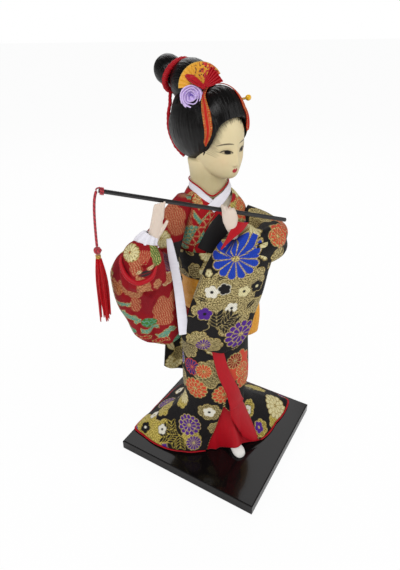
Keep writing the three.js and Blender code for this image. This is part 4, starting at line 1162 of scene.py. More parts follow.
class DOLL_OT_tassel(bpy.types.Operator):
    """Makes the red silk tassel: its turns on the flute, its cord, knot, binding and strands"""

    bl_idname = "doll.tassel"
    bl_label = "Tassel"

    def execute(self, context):
        sizes = context.scene.doll_sizes
        radius = sizes.cord_diameter / MM / 2
        run = unit(FLUTE_END - FLUTE_START)
        side = unit(np.cross(run, [0, 1.0, 0]))
        other = np.cross(run, side)
        # Turns of cord round the rod: a helix of two and a half turns, which comes from over the
        # rod's end
        t = np.linspace(0, 1, 120)[:, None]
        turn = 2 * np.pi * LOOP_TURNS * t
        around = FLUTE_RADIUS + 0.5
        coil = FLUTE_START + run * (0.8 + 1.9 * t) + (side * np.cos(turn)
                                                      + other * np.sin(turn)) * around
        lead = np.array([[-86.23, -40, 248.7], [-86.3, -40, 249.3], [-85.7, -40, 250],
                         coil[0] - run * 0.6])
        coil = np.concatenate([smooth_line(lead, 14), coil])
        thick = 0.42 * np.minimum(1, 0.6 + 0.13 * np.arange(len(coil)))
        loop = surface("tassel_loop_turns", tube(coil, thick, 8), wrap=True, caps=True)
        dressed(loop, "Cord_red", "tassel_loop", "red", "tassel_loop")

        line = smooth_line(CORD, 36)
        # The cord's top is a half ball about the joint, so that it turns under the loop's end
        turn = np.radians([84, 62, 38, 16])
        cap = line[0] + unit(line[0] - line[1]) * radius * np.sin(turn)[:, None]
        thick = radius * np.concatenate([np.cos(turn), np.ones(len(line))])
        cord = surface("tassel_cord_silk", tube(np.concatenate([cap, line]), thick, 10), wrap=True,
                       caps=True)
        dressed(cord, "Cord_red", "tassel", "red", "tassel_cord")

        # Knot: a ball whose surface swells in slanting ridges, as a crown knot of cord does
        end = line[-1]
        a, b = spread(circle(40), np.linspace(-np.pi / 2, np.pi / 2, 25))
        swell = 2.3 + 0.22 * np.cos(5 * a + 4 * b) * np.cos(b)
        ball = np.stack([swell * np.cos(b) * np.cos(a), swell * np.cos(b) * np.sin(a),
                         swell * np.sin(b)], -1)
        ball += end - [0, 0, GAP + KNOT_HIGH / 2]
        knot = surface("tassel_knot_silk", ball, wrap=True)
        dressed(knot, "Cord_red", "tassel", "red", "tassel_knot")

        # Binding: turns of gilt thread, as a column with round ribs
        top = end[2] - GAP - KNOT_HIGH - GAP
        a, h = spread(circle(32), np.linspace(0, 1, 31))
        wide = (1.45 + 0.15 * np.abs(np.sin(5 * np.pi * h))) * np.minimum(1,
            12 * np.minimum(h, 1 - h) + 0.5)
        column = np.stack([end[0] + wide * np.cos(a), end[1] + wide * np.sin(a),
                           top - BINDING_HIGH * (1 - h)], -1)
        wrap = surface("tassel_binding", column, wrap=True, caps=True)
        dressed(wrap, "Thread_gold", "tassel", "gold", "tassel_wrap")

        # Strands: the threads leave the binding in 15 locks, each of which hangs to its own length
        n = sizes.strand_count
        i = np.arange(n)
        lock = i % LOCKS
        angle = lock * GOLDEN_ANGLE
        out = np.sqrt((lock + 0.5) / LOCKS)
        drop = np.linspace(0, 1, 11)[None, :]
        long = 43.6 - 5.5 * lattice(lock, 3, 1)[:, None] ** 1.5 - 1.2 * lattice(i, 9,
            1)[:, None] ** 3
        swing = along([[0.42], [0.74], [0.93], [1.0], [1.04], [1.08]], drop[0])[:, 0][None]
        reach = (0.3 + 3.25 * out[:, None]) * swing
        near = 0.8 * np.sqrt(lattice(i, 6, 2)[:, None]) * swing * (1 - 0.72 * drop**4)
        sway = 0.45 * np.sin(5 * drop + 6 * lattice(lock, 5, 2)[:, None]) * drop
        x = end[0] + reach * np.cos(angle)[:, None] + near * np.cos(2.4 * i)[:, None] + sway
        y = end[1] + reach * np.sin(angle)[:, None] + near * np.sin(2.4 * i)[:, None] + 0.8 * sway
        z = top - BINDING_HIGH - GAP - long * drop
        lines = np.stack([x, y, z + 0 * x], -1)
        strands = many_tubes("tassel_strands_floss", lines, 0.27 * (1 - 0.25 * drop))
        dressed(strands, "Floss_red", "tassel", "red", "tassel_strands")
        return {"FINISHED"}


FOOT_LENGTH = 23
FOOT_HALF = 5.3
FOOT_HIGH = 7.8


class DOLL_OT_stand(bpy.types.Operator):
    """Finishes the board, the dowels and wires, and makes the flute and the feet"""

    bl_idname = "doll.stand"
    bl_label = "Board, flute and feet"

    def execute(self, context):
        for node, name in (
            ("base_board", "Lacquer_black"), ("leg_rod_right", "Birch_dowel"),
            ("leg_rod_left", "Birch_dowel"),
            ("neck_peg", "Birch_dowel"), ("arm_wire_right", "Steel_wire"),
            ("arm_wire_left", "Steel_wire"),
        ):
            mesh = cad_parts[node].data
            mesh.materials.clear()
            mesh.materials.append(bpy.data.materials[name])
        # Flute: a rod whose ends are eased, with a shallow groove near each
        t = np.concatenate([[0, 0, 0.002, 0.004], np.linspace(0.01, 0.99, 90),
                            [0.996, 0.998, 1, 1]])
        wide = FLUTE_RADIUS * np.array([0.02, 0.8, 0.97, 1.0] + [1.0] * 90 + [1.0, 0.97, 0.8, 0.02])
        line = FLUTE_START + (FLUTE_END - FLUTE_START) * t[:, None]
        run = unit(FLUTE_END - FLUTE_START)
        side = unit(np.cross(run, [0, 1.0, 0]))
        a = circle(28)[:, None]
        ring = side * np.cos(a) + np.cross(run, side) * np.sin(a)
        rod = surface("flute_rod", line[:, None] + ring[None] * wide[:, None, None], wrap=True,
                      caps=True)
        dressed(rod, "Lacquer_rod", "stand", "lacquer", "flute")
        for name, x, y, turn in (("right", -14, 0.5, -4), ("left", 2.2, -20.6, 12)):
            self.foot(name, x, y, turn)
        return {"FINISHED"}

    def foot(self, name, heel_x, heel_y, turn):
        """A sock foot: half-round sections whose width and height run from heel to toe, with the
        toe's cleft.
        """
        shape = [[0, 0.2, 0.3], [0.04, 0.62, 0.62], [0.12, 0.86, 0.95], [0.45, 0.82, 1],
                 [0.75, 1, 0.78], [0.93, 0.78, 0.56], [0.985, 0.46, 0.34], [1, 0.12, 0.1]]
        t = np.linspace(0, 1, 60)
        wide, high = between(shape, t).T
        a = circle(48)
        up = np.maximum(np.sin(a) * 0.62 + 0.38, 0)
        cleft = 1 - 0.1 * np.exp(-((np.cos(a)[None] - 0.3) * 9) ** 2) * np.clip((t[:, None] - 0.8)
            * 8, 0, 1) * (
            np.sin(a)[None] > 0)
        x = wide[:, None] * FOOT_HALF * np.cos(a)
        y = np.repeat(-t[:, None] * FOOT_LENGTH, 48, 1)
        z = FLOOR + high[:, None] * FOOT_HIGH * up * cleft
        c, s = np.cos(np.radians(turn)), np.sin(np.radians(turn))
        at = np.stack([heel_x + x * c - y * s, heel_y + x * s + y * c, z], -1)
        foot = surface("foot_sock_" + name, at, wrap=True, caps=True)
        dressed(foot, "Cotton_white", "stand", "sock", "foot_" + name)


# The line where the skirt's two fronts meet above the V: height and angle
FRONT_LINE = [[57, 272.5], [66, 279], [75, 284], [94, 268], [112, 259], [130, 250], [146, 240]]
NOTCH = {"right": [-20.5, -5.5], "left": [29, -5.5]}
BACK_SEAM = 90
# Height at which the V's sides reach the board's level, and the hem's height
V_FOOT = 8.8
HEM_AT = 11.3


def skirt_front(z, side):
    """Angle of a skirt half's front edge: on the V's line below its top, and on the front line
    above.
    """
    low, high = NOTCH[side]
    line_x = low + (high - low) * np.clip((z - V_FOOT) / (NOTCH_TOP - V_FOOT), 0, 1)
    angles = np.linspace(215, 335, 400)
    a, rows = spread(np.radians(angles), z)
    x = dress(a, rows)[..., 0]
    found = np.array([np.interp(want, row, angles) for want, row in zip(line_x, x)])
    upper = between(FRONT_LINE, z)[..., 0]
    share = np.clip((z - NOTCH_TOP) / 6, 0, 1)
    return found + (upper - found) * share


def even_heights(low, high, count, angles):
    """Heights whose spacing along the surface is even, on the mean of a few meridians."""
    z = np.linspace(low, high, 600)
    a, rows = spread(np.radians(angles), z)
    length = np.linalg.norm(np.diff(dress(a, rows), axis=0), axis=-1).mean(1)
    length = np.concatenate([[0], np.cumsum(length)])
    return np.interp(np.linspace(0, length[-1], count), length, z)


SKIRT_MOTIFS = {
    "right": [
        ("cloud", [-18, -27, 92], 13.5, 80, "old_gold gold_line black"),
        ("cloud", [-31, -14, 112], 9, 20, "old_gold gold_line black"),
        ("chrysanthemum", [-29.6, -18.9, 96.5], 7.2, 10, "navy coral gold_line"),
        ("chrysanthemum", [-21.6, -25.4, 95], 6.4, 12, "coral gold_line black"),
        ("double_chrysanthemum", [-27.8, -21.6, 76], 9.8, 20, "coral gold_line gold_line"),
        ("cloud", [-12.7, -28.7, 36], 6.5, 30, "old_gold gold_line black"),
        ("cloud", [-17.4, -27.3, 53], 9.5, 0, "old_gold gold_line black"),
        ("plum", [-17.4, -27.3, 53], 5.2, 10, "white gold_line black"),
        ("cloud", [-40, -4, 53], 9, 60, "yellow_gold gold_line yellow_gold"),
        ("chrysanthemum", [-33.4, -5.4, 57], 8.2, 0, "cream gold_line gold_line"),
        ("cloud", [-47, 10, 29], 10, 30, "yellow_gold gold_line yellow_gold"),
        ("cloud", [-66, 4, 14], 17, 10, "yellow_gold gold_line yellow_gold"),
        ("cloud", [-54, -8, 18], 13, 50, "yellow_gold gold_line yellow_gold"),
        ("cloud", [-32, -23, 22], 8, 0, "yellow_gold gold_line yellow_gold"),
        ("leaf", [-46.7, 8.3, 30], 7, 60, "yellow_gold black yellow_gold"),
        ("plum", [-57, 11, 20.9], 4.6, 0, "white black yellow_gold"),
        ("plum", [-65.7, 5.1, 14.4], 5.2, 20, "black yellow_gold white"),
        ("leaf", [-75, 10.6, 12.2], 4.2, 20, "blue gold_line blue"),
        ("spray", [-45, -16, 20], 13, 160, "black yellow_gold black"),
        ("spray", [-40, -18, 24], 12, 240, "black yellow_gold black"),
        ("double_chrysanthemum", [-32.4, -19.4, 34.6], 9.6, 15, "purple gold_line cream"),
        ("plum", [-52.9, -15.9, 12.2], 3.2, 0, "purple gold_line black"),
        ("plum", [-52.6, -6.2, 20.9], 4.4, 40, "white black black"),
        ("chrysanthemum", [-30.4, -25.3, 19], 6.4, 0, "purple gold_line cream"),
    ],
    "left": [
        ("cloud", [8, -26, 95], 14, 80, "coral gold_line coral"),
        ("cloud", [14, -20, 80], 11, 20, "coral gold_line coral"),
        ("chrysanthemum", [3, -27, 102], 6.8, 10, "dark_red gold_line navy"),
        ("chrysanthemum", [10, -24, 90], 6.2, 12, "coral gold_line gold_line"),
        ("chrysanthemum", [13, -21, 78], 6.0, 12, "coral gold_line gold_line"),
        ("cloud", [21, -16, 36], 8.5, 30, "yellow_gold gold_line black"),
        ("plum", [20.3, -16.7, 35.1], 4.4, 0, "white black yellow_gold"),
        ("cloud", [41.8, 22.5, 19.8], 10.5, 10, "yellow_gold gold_line yellow_gold"),
        ("plum", [34, 15, 30], 4.6, 0, "black yellow_gold white"),
        ("cloud", [56, -6, 15], 11, 70, "yellow_gold gold_line yellow_gold"),
        ("cloud", [49, -14.7, 12], 9, 10, "yellow_gold gold_line yellow_gold"),
        ("double_chrysanthemum", [52.5, -3.1, 19.3], 12, 0, "cream gold_line yellow_gold"),
        ("cloud", [30, -24, 18], 8.5, 0, "yellow_gold gold_line black"),
        ("plum", [29, -24.1, 19.4], 5.2, 10, "purple gold_line yellow_gold"),
    ],
}

SCATTER = [
    ("double_chrysanthemum", 9.5, "coral gold_line gold_line"),
    ("cloud", 11, "old_gold gold_line black"),
    ("chrysanthemum", 8.0, "cream gold_line yellow_gold"), ("plum", 4.6, "white gold_line black"),
    ("cloud", 9, "yellow_gold gold_line yellow_gold"),
    ("chrysanthemum", 8.5, "purple gold_line cream"),
    ("spray", 11, "old_gold gold_line black"), ("plum", 4.2, "purple gold_line black"),
    ("leaf", 6, "old_gold black old_gold"), ("chrysanthemum", 7, "blue gold_line gold_line"),
]


class DOLL_OT_skirt(bpy.types.Operator):
    """Makes the brocade skirt with its train, its red lining and underskirt, and the red band in
    front
    """

    bl_idname = "doll.skirt"
    bl_label = "Skirt"

    def execute(self, context):
        self.skirt("right", [140, 180, 224])
        self.skirt("left", [320, 0, 45])
        self.lining()
        self.underskirt()
        self.band()
        self.padding()
        return {"FINISHED"}

    def skirt(self, side, meridians, columns=370):
        """A half of the skirt: the dress surface from its front edge round to the seam at the back.
        """
        z = even_heights(HEM_AT, SKIRT_TOP, 215, meridians)
        front = skirt_front(z, side)
        back = BACK_SEAM if side == "right" else BACK_SEAM + 360
        # Columns are spaced by the hem's length, so that the train is as dense as the front
        share = np.linspace(0, 1, 400)
        hem = dress(np.radians(front[0] + (back - front[0]) * share), np.full(400, z[0]))
        length = np.concatenate([[0], np.cumsum(np.linalg.norm(np.diff(hem, axis=0), axis=1))])
        u = 0.75 * np.interp(np.linspace(0, length[-1], columns), length,
                             share) + 0.25 * np.linspace(0, 1, columns)
        angle = front[:, None] + (back - front[:, None]) * u[None]
        rows = np.repeat(z[:, None], columns, 1)
        edge = np.exp(-((u / 0.006) ** 2))[None] * (rows < NOTCH_TOP)
        under_hem = np.exp(-(((rows - z[0]) / 0.35) ** 2))
        points = out_from(dress, np.radians(angle), rows, CLOTH - 0.9 * np.maximum(edge, under_hem))
        drawn = SKIRT_MOTIFS[side]
        clear = clear_of(drawn, 8)

        def free(p):
            return clear(p) & ((p[:, 1] > 6) | (p[:, 2] > KNEE))

        extra = scattered(points, SCATTER, 15.5, 4 if side == "right" else 9, free)
        ink = patterned(points, "black", extra + drawn, 1 if side == "left" else -1)
        # The gilt edge of the V, as dashes of thread
        from_edge = np.linalg.norm(points - points[:, :1], axis=-1)
        dash = (from_edge < 0.9) & (np.floor(rows / 1.5) % 2 == 0) & (rows < NOTCH_TOP + 4)
        lay(ink, dash.astype(float), "gold_line")
        sewn("skirt_" + side, points, None, "Brocade_kinran", "blackBrocade", "skirt", "hung",
             ["base_board"], flip=side == "right", ink=ink)

    def lining(self):
        """The red lining's edge: a flat lip under the hem, as a rounded strip carried round it."""
        a, h = spread(np.linspace(0, 2 * np.pi, 700), np.linspace(0, 2 * np.pi, 11))
        level = np.full(a.shape, FLOOR + 0.6)
        point = dress(a, np.full(a.shape, FLOOR + 0.5))
        normal = out_from(dress, a, np.full(a.shape, FLOOR + 0.5), 1.0) - point
        normal = unit(normal * [1, 1, 0])
        x = point[..., 0]
        keep = (x[0] < NOTCH["right"][0] - 0.3) | (x[0] > NOTCH["left"][0]
                                                   + 0.3) | (point[0, :, 1] > -20)
        at = point + normal * (-1.2 + 1.6 * np.cos(h))[..., None]
        at[..., 2] = level + 0.55 * np.sin(h)
        order = np.argsort((a[0] - np.radians(272)) % (2 * np.pi))
        at = at[:, order][:, keep[order]]
        lip = surface("skirt_lining_edge", at.transpose(1, 0, 2)[:, :-1], wrap=True, caps=True,
                      flip=True)
        dressed(lip, "Satin_red", "stand", "red", "hem_lining")

    def underskirt(self):
        """Red satin inside the V: a sheet set behind the skirt, with pleats that deepen towards the
        hem.
        """

        def instep(u):
            return np.exp(-(((238 + 90 * u - 293) / 15) ** 2))

        def place(u, v):
            low = 10.4 + 6.2 * instep(u)
            return 238 + 90 * u, low + (NOTCH_TOP + 2 - low) * v

        def out(u, v):
            pleat = np.sin(2 * np.pi * (2.2 * u + 0.12 * np.sin(5 * v))) + 0.4 * np.sin(2 * np.pi
                * 5.3 * u + 1)
            return -1.4 + 0.9 * pleat * (0.35 + 0.65 * (1 - v)) + 7.5 * instep(u) * (1 - v) ** 2.5

        sewn("underskirt_satin", cloth(place, out, 120, 60), 0.5, "Satin_red", "red", "underskirt",
             "hung", ["skirt_padding"])

    def band(self):
        """The red satin band: a broad strip down the front, folded once where the train begins."""
        upper = [[259.5, 116, 7.8], [261.5, 112, 8], [270, 94, 9], [285, 75, 10.2], [296, 62, 12],
                 [300.5, 56, 13]]
        lower = [[298.5, 58.5, 12], [302, 51, 14], [307, 44, 15.5], [313, 32, 15], [319, 20, 9.5],
                 [322, 14, 4]]
        for name, line, rise in (("upper", upper, 1.3), ("lower", lower, 0.0)):
            def out(u, v, rise=rise):
                crown = 0.35 * (1 - (2 * v - 1) ** 2)
                return CLOTH + 4 * GAP + 0.4 + rise * u**3 + crown + 0.25 * np.sin(9 * u + 3 * v)

            sewn("front_band_" + name, cloth(band_place(line), out, 90, 24), 0.45, "Satin_red",
                 "red",
                 "front_band", "folded", ["skirt_right", "skirt_left"])

    def padding(self):
        """The stuffing in the skirt: the trunk's ellipse drawn in a little, rounded over at its
        top.
        """
        z = np.concatenate([[FLOOR], np.linspace(FLOOR + 0.2, 118, 60), [119, 119.5, 119.7]])
        draw = np.concatenate([[-5.2], -1.5 - 3.5 * np.clip((60 - z[1:61]) / 12, 0, 1),
                               [-2.6, -4.5, -8]])
        stuffing("skirt_stuffing", z, draw, (FLOOR, 118), (0.2, 7, 9), "skirt_padding")


# Angles of the back seam's two sides, once round the trunk
SEAM_RIGHT = 91
SEAM_LEFT = 449
# The line where the fronts cross: height and angle
CROSSING = [[146, 236], [186, 240], [197, 250], [207, 264], [214, 277], [221, 288]]
BODICE_TOP = {
    "right": [[0, 231.5], [0.55, 231.5], [0.72, 229.5], [0.84, 226], [0.93, 222], [1, 218.5]],
    "left": [[0, 231.5], [0.5, 231.5], [0.68, 229], [0.85, 226], [1, 221]],
}
BODICE_MOTIFS = {
    "right": [
        ("chevron", [-20.8, -14.9, 216.4], 6.4, 0, "teal gold_line teal"),
        ("hatch", [-31, -8, 216.8], 7.2, 25, "salmon red black"),
        ("scallops", [-27.9, -14.2, 204.6], 6.6, 15, "teal gold_line teal"),
        ("leaf", [-26.5, -3.5, 228.1], 5, 60, "salmon gold_line salmon"),
        ("leaf", [-31.6, -9.7, 195.7], 4.6, 0, "teal gold_line teal"),
        ("spray", [-20, -12, 228], 6, 200, "gold_line coral red"),
    ],
    "left": [
        ("cloud", [-1.5, -13.5, 226], 6.5, 20, "red gold_line red"),
        ("cloud", [2.5, -12, 230], 5.5, 20, "red gold_line red"),
        ("cloud", [3.5, -12.4, 220], 5.5, 20, "yellow_gold gold_line old_gold"),
        ("leaf", [0, -14, 219], 3.4, 40, "teal gold_line teal"),
        ("cloud", [9, -9, 219], 8, 60, "coral gold_line coral"),
        ("chrysanthemum", [9, -9.5, 219.5], 5.6, 60, "coral gold_line gold_line"),
    ],
}
RED_SCATTER = [
    ("hatch", 6.5, "salmon red black"), ("scallops", 5, "teal gold_line teal"),
    ("chrysanthemum", 6, "cream gold_line gold_line"), ("leaf", 5, "green gold_line green"),
    ("hatch", 5, "navy salmon black"), ("scallops", 5.5, "teal green teal"),
    ("plum", 4, "cream gold_line coral"), ("chevron", 6.5, "teal gold_line teal"),
]
OBI_SCATTER = [
    ("leaf", 5, "cream gold_line cream"), ("cloud", 5.5, "old_gold gold_line black"),
    ("chrysanthemum", 6, "cream gold_line gold_line"), ("leaf", 4, "black gold_line black"),
]
COLLAR_RIGHT = [
    [93, 234.3, 4], [150, 234.5, 4], [200, 233.8, 4.6], [222, 231.9, 5.2], [245, 228.1, 5.8],
    [262, 223.8, 6.2], [271, 221.4, 6.2],
]
COLLAR_LEFT = [
    [447, 234.3, 4], [392, 234.5, 4], [345, 233.4, 4.6], [314, 231.0, 5.2], [290, 228.3, 5.8],
    [272, 225.2, 6.2], [258, 221.8, 6.2],
]
PIPING = [
    [93, 237.2], [130, 237.4], [170, 237.4], [205, 236.6], [228, 234.6], [248, 231.6],
    [265.7, 229.4],
    [286, 231.8], [312, 234.4], [340, 236.4], [378, 237.3], [420, 237.4], [447, 237.2],
]


class DOLL_OT_bodice(bpy.types.Operator):
    """Makes the two fronts of the kimono, the white and black collars, the red piping and the
    padded trunk
    """

    bl_idname = "doll.bodice"
    bl_label = "Bodice and collars"

    def execute(self, context):
        self.front("right", SEAM_RIGHT, -1, "red", "redBrocade", 270)
        self.front("left", SEAM_LEFT, 1, "old_gold", "goldBrocade", 150)
        for side, line, out in (("right", COLLAR_RIGHT, TRIM),
                                ("left", COLLAR_LEFT, 2 * TRIM + GAP)):
            def rise(u, v, out=out):
                fold = 0.3 * np.exp(-(((v - 0.9) * 9) ** 2)) + 0.25 * (1 - (2 * v - 1) ** 2)
                return out + fold - 0.25

            sewn("collar_white_" + side, cloth(band_place(line), rise, 150, 16), 0.6, "Tape_white",
                 "white",
                 "collar_inner_" + side, "folded", ["bodice_cloth_" + side])
        angle, z = along(PIPING, np.linspace(0, 1, 160)).T
        line = out_from(trunk, np.radians(angle), z, np.full(160, GAP + TRIM))
        piping = surface("collar_piping_cord", tube(line, 0.5, 8), wrap=True, caps=True)
        dressed(piping, "Satin_red", "stand", "red", "collar_piping")
        self.panel("collar_black_panel", [[282, 214, 13.4], [271, 210.4, 13.2], [257, 203.5, 12.4],
                                          [245, 194.8, 11.8]], "Satin_black", "black",
                   "collar_outer", None)
        self.panel("collar_brocade_strip",
                   [[261, 219.6, 3], [248, 214, 4], [234, 206.4, 4.2], [221, 198, 4.2]],
                   "Brocade_kinran", "redBrocade", "collar_strip", "red")
        self.trunk()
        return {"FINISHED"}

    def front(self, side, back, past, colour, slot, columns):
        """One front: the trunk's surface from the back seam to the crossing, with soft drag lines
        to the obi.
        """
        top = BODICE_TOP[side]

        def place(u, v):
            z = SKIRT_TOP + GAP + (between(top, u)[..., 0] - SKIRT_TOP - GAP) * v
            return back + (between(CROSSING, z)[..., 0] + past - back) * u, z

        def out(u, v):
            drag = 0.35 * np.sin(16 * u + 5 * v) * np.clip(1.4 - v, 0, 1)
            rim = np.exp(-(((1 - u) / 0.012) ** 2)) + np.exp(-(((1 - v) / 0.012) ** 2))
            return CLOTH + drag - 0.5 * np.clip(rim, 0, 1)

        points = cloth(place, out, columns, 150)
        drawn = BODICE_MOTIFS[side]
        kinds = RED_SCATTER if side == "right" else SCATTER
        extra = scattered(points, kinds, 13, 3, clear_of(drawn, 11, 0))
        ink = patterned(points, colour, extra + drawn, 1 if side == "right" else -1)
        sewn("bodice_cloth_" + side, points, None, "Brocade_kinran", slot, "bodice_" + side,
             "stretched",
             ["trunk_padding"], flip=side == "left", ink=ink)

    def panel(self, name, line, material, slot, node, ink_of):
        """A flat strip beside the crossing: a band with a crown across it and a turned edge."""
        def out(u, v):
            return UNDER + TRIM - 0.4 + 0.45 * (1 - (2 * v - 1) ** 4)

        points = cloth(band_place(line), out, 110, 50)
        ink = None
        if ink_of:
            ink = ground(points, ink_of)
            stripe = np.sin(np.linspace(0, 26, 110))[None] + np.linspace(-1, 1, 50)[:, None]
            lay(ink, (np.abs(stripe) < 0.5).astype(float), "salmon")
            edge = np.abs(np.linspace(-1, 1, 50))[:, None] + 0 * stripe
            lay(ink, (edge > 0.86).astype(float), "gold_line")
        sewn(name, points, 0.5, material, slot, node, "folded", ["bodice_cloth_right"], ink=ink)

    def trunk(self):
        """The padded trunk under the bodice: the trunk's ellipse drawn in, with tufting, rounded at
        both ends.
        """
        z = np.concatenate([[120.0, 120.1, 121], np.linspace(123, 223, 70), [225, 226.2, 226.6]])
        draw = np.concatenate([[-9, -4, -2.2], np.full(70, -1.6), [-2.4, -4, -8]])
        stuffing("trunk_padding", z, draw, (122, 224), (0.25, 6, 6), "torso_core")


class DOLL_OT_obi(bpy.types.Operator):
    """Makes the obi, its sash and flap, the fold at the waist, and the knot, loop and tail at the
    back
    """

    bl_idname = "doll.obi"
    bl_label = "Obi"

    def execute(self, context):
        self.ring("obi_brocade", OBI_BOTTOM + GAP, OBI_TOP, OBI_OUT, 0.25, "blackBrocade", "obi",
                  "black",
                  (400, 40))
        self.ring("obi_sash_lame", SASH_BOTTOM, OBI_BOTTOM, OVER, 0.5, "orange", "obi_sash", None,
                  (300, 32))
        self.ring("waist_fold_cloth", SASH_BOTTOM - GAP - 9, SASH_BOTTOM - GAP, OVER - 0.2, 0.3,
                  "red",
                  "waist_fold", "red", (400, 18))
        self.flap()
        self.knot()
        self.bow()
        self.tail()
        return {"FINISHED"}

    def ring(self, name, low, high, out_to, wave, slot, node, colour, counts):
        """A sash round the waist: a ring on the trunk with creases along it, rounded in at both
        edges.
        """

        def place(u, v):
            return SEAM_RIGHT + (SEAM_LEFT - SEAM_RIGHT) * u, low + (high - low) * v

        def out(u, v):
            edge = 1 - np.abs(2 * v - 1) ** 8
            crease = wave * (np.sin(11 * v + 2.5 * np.sin(7 * u))
                             + 0.6 * np.sin(23 * v + 4 * np.sin(9 * u + 1)))
            return out_to - 1.1 + edge - 0.3 + crease * 0.5

        points = cloth(place, out, *counts)
        ink = None
        if colour:
            kinds, apart, seed = (OBI_SCATTER, 9, 6) if colour == "black" else (RED_SCATTER, 11, 5)
            ink = patterned(points, colour, scattered(points, kinds, apart, seed))
        sewn(name, points, 0.4, "Brocade_kinran" if colour else "Lame_orange", slot, node, "folded",
             ["bodice_cloth_right", "bodice_cloth_left"], ink=ink)

    def flap(self):
        """The turned end of the obi: a band that lies slantwise, with a swelling along its middle.
        """
        line = [[263, 188, 9.5], [258, 185, 11], [250, 181, 12], [241, 177, 10]]

        def out(u, v):
            return OBI_OUT + GAP + 0.3 + 1.0 * np.sin(np.pi * u) * (1
                - (2 * v - 1) ** 2) + 0.2 * np.sin(9 * u)

        points = cloth(band_place(line), out, 110, 60)
        drawn = [("double_chrysanthemum", points[34, 70], 5.6, 0, "cream gold_line old_gold"),
                 ("leaf", points[16, 30], 5, 30, "cream gold_line cream"),
                 ("leaf", points[50, 40], 4.4, -40, "cream gold_line cream"),
                 ("plum", points[20, 96], 3.6, 0, "cream gold_line old_gold")]
        ink = patterned(points, "old_gold", drawn)
        sewn("obi_flap_brocade", points, 0.5, "Brocade_kinran", "goldBrocade", "obi_flap", "folded",
             ["obi_brocade"], ink=ink)

    def knot(self):
        """The drum knot at the back: a flattened bag with soft corners and pleats towards its
        middle.
        """
        stations = [[164, -22, 6, 21, 1.5], [165.5, -25, 9, 21.3, 4.5], [168, -27, 11, 21.5, 6],
                    [186, -27, 11, 21, 6.5], [195, -25, 9, 19.5, 5.5], [198.3, -21, 5, 19, 3.4],
                    [199, -17, 1, 19, 1.2]]

        def ripple(a, hang, x):
            return 0.35 * np.sin((x + 8) / 2.4) * np.abs(np.sin(a)) * np.abs(2 * hang - 1)

        points = hanging(stations, 190, 96, ripple)
        ink = patterned(points, "black", scattered(points, SCATTER, 14, 2), wrap=True)
        piece = surface("obi_knot_brocade", points, wrap=True, caps=True, ink=ink)
        dressed(piece, "Brocade_kinran", "stand", "blackBrocade", "obi_knot")

    def bow(self):
        """The orange loop that hangs beside the skirt: a slim bag with long folds and a rounded
        foot.
        """
        stations = [[91, 24, 31, 17, 0.8], [92, 21, 34, 17, 2.6], [95, 15, 38, 17, 4.2],
                    [110, 10, 39, 17.5, 5],
                    [130, 7, 37, 18.5, 5], [150, 3, 30, 20, 4.5], [163.7, 1, 20, 21.5, 3.5]]

        def ripple(a, hang, x):
            return 0.7 * np.sin(x / 2.2 + 2 * hang) * np.abs(np.sin(a)) * (0.3 + hang) * np.clip(3
                - 3 * hang, 0, 1)

        points = hanging(stations, 120, 84, ripple)
        piece = surface("obi_loop_lame", points, wrap=True, caps=True)
        dressed(piece, "Lame_orange", "stand", "orange", "obi_bow")

    def tail(self):
        """The brocade end that hangs at the back: a sheet that waves across its width and widens
        downwards.
        """
        v, u = np.meshgrid(np.linspace(0, 1, 200), np.linspace(0, 1, 108), indexing="ij")
        wide = 34 - 6 * v
        x = -10 - wide * u - 2 * (1 - v)
        wave = 1.4 * np.cos(3 * np.pi * u) * (1 - 0.6 * v) - 5 * u * u + 0.35 * np.sin(14 * u
            + 5 * v)
        foot = np.exp(-((v / 0.01) ** 2))
        low = 62 + 11 * u**4
        points = np.stack([x, 21.7 + wave - 0.5 * foot, low + (163.7 - low) * v], -1)
        drawn = [("double_chrysanthemum", points[17, 80], 9, 0, "cream gold_line old_gold"),
                 ("leaf", points[50, 93], 7, 60, "cream gold_line cream"),
                 ("cloud", points[35, 58], 9, 0, "old_gold gold_line black"),
                 ("double_chrysanthemum", points[58, 33], 9, 0, "cream gold_line old_gold")]
        extra = scattered(points, SCATTER, 15, 8, lambda p: p[:, 2] > 95)
        ink = patterned(points, "black", extra + drawn)
        sewn("obi_tail_brocade", points, 1.0, "Brocade_kinran", "blackBrocade", "obi_tail", "hung",
             ["obi_knot_brocade"], ink=ink)


RIGHT_BAG = [
    [128, -57, -42, -22, 5], [132, -65, -38, -22, 7.5], [140, -72, -37, -23, 9],
    [153, -76, -38.5, -24, 10.5],
    [166, -81, -40, -25, 11.5], [178, -83, -42, -26, 12.5], [188, -83.5, -41, -26, 13],
    [196, -79, -38, -22, 12], [205, -63, -34, -16, 10.5], [214, -50, -30, -10, 9.5],
    [222, -42, -26, -6, 8.5], [229, -34, -25, -3.5, 6],
]
CUFF = [
    [-64.6, -44, 188.6, 6, 5], [-64.6, -44, 189, 11.6, 9.4], [-64.6, -43.6, 191, 13, 10.8],
    [-64, -42, 200, 13, 10.6], [-62.8, -40.8, 209, 11.4, 9.4], [-61, -39.5, 214.6, 7.6, 6.6],
]
LEFT_BAG = [
    [120, -16, -5, -33.5, 3], [124, -25, 4, -34, 4.5], [130, -33, 7.5, -34.5, 5.5],
    [138, -40, 10.5, -35, 6],
    [150, -37, 12.5, -35.5, 6.8], [160, -34.5, 15, -36, 7.4], [172, -31, 17.6, -36.5, 8.2],
    [185, -26, 19.5, -36.5, 9.4], [195, -21, 21, -36.3, 10.4], [203, -16, 21, -36, 10.8],
    [208, -12, 17, -36, 10.6],
]
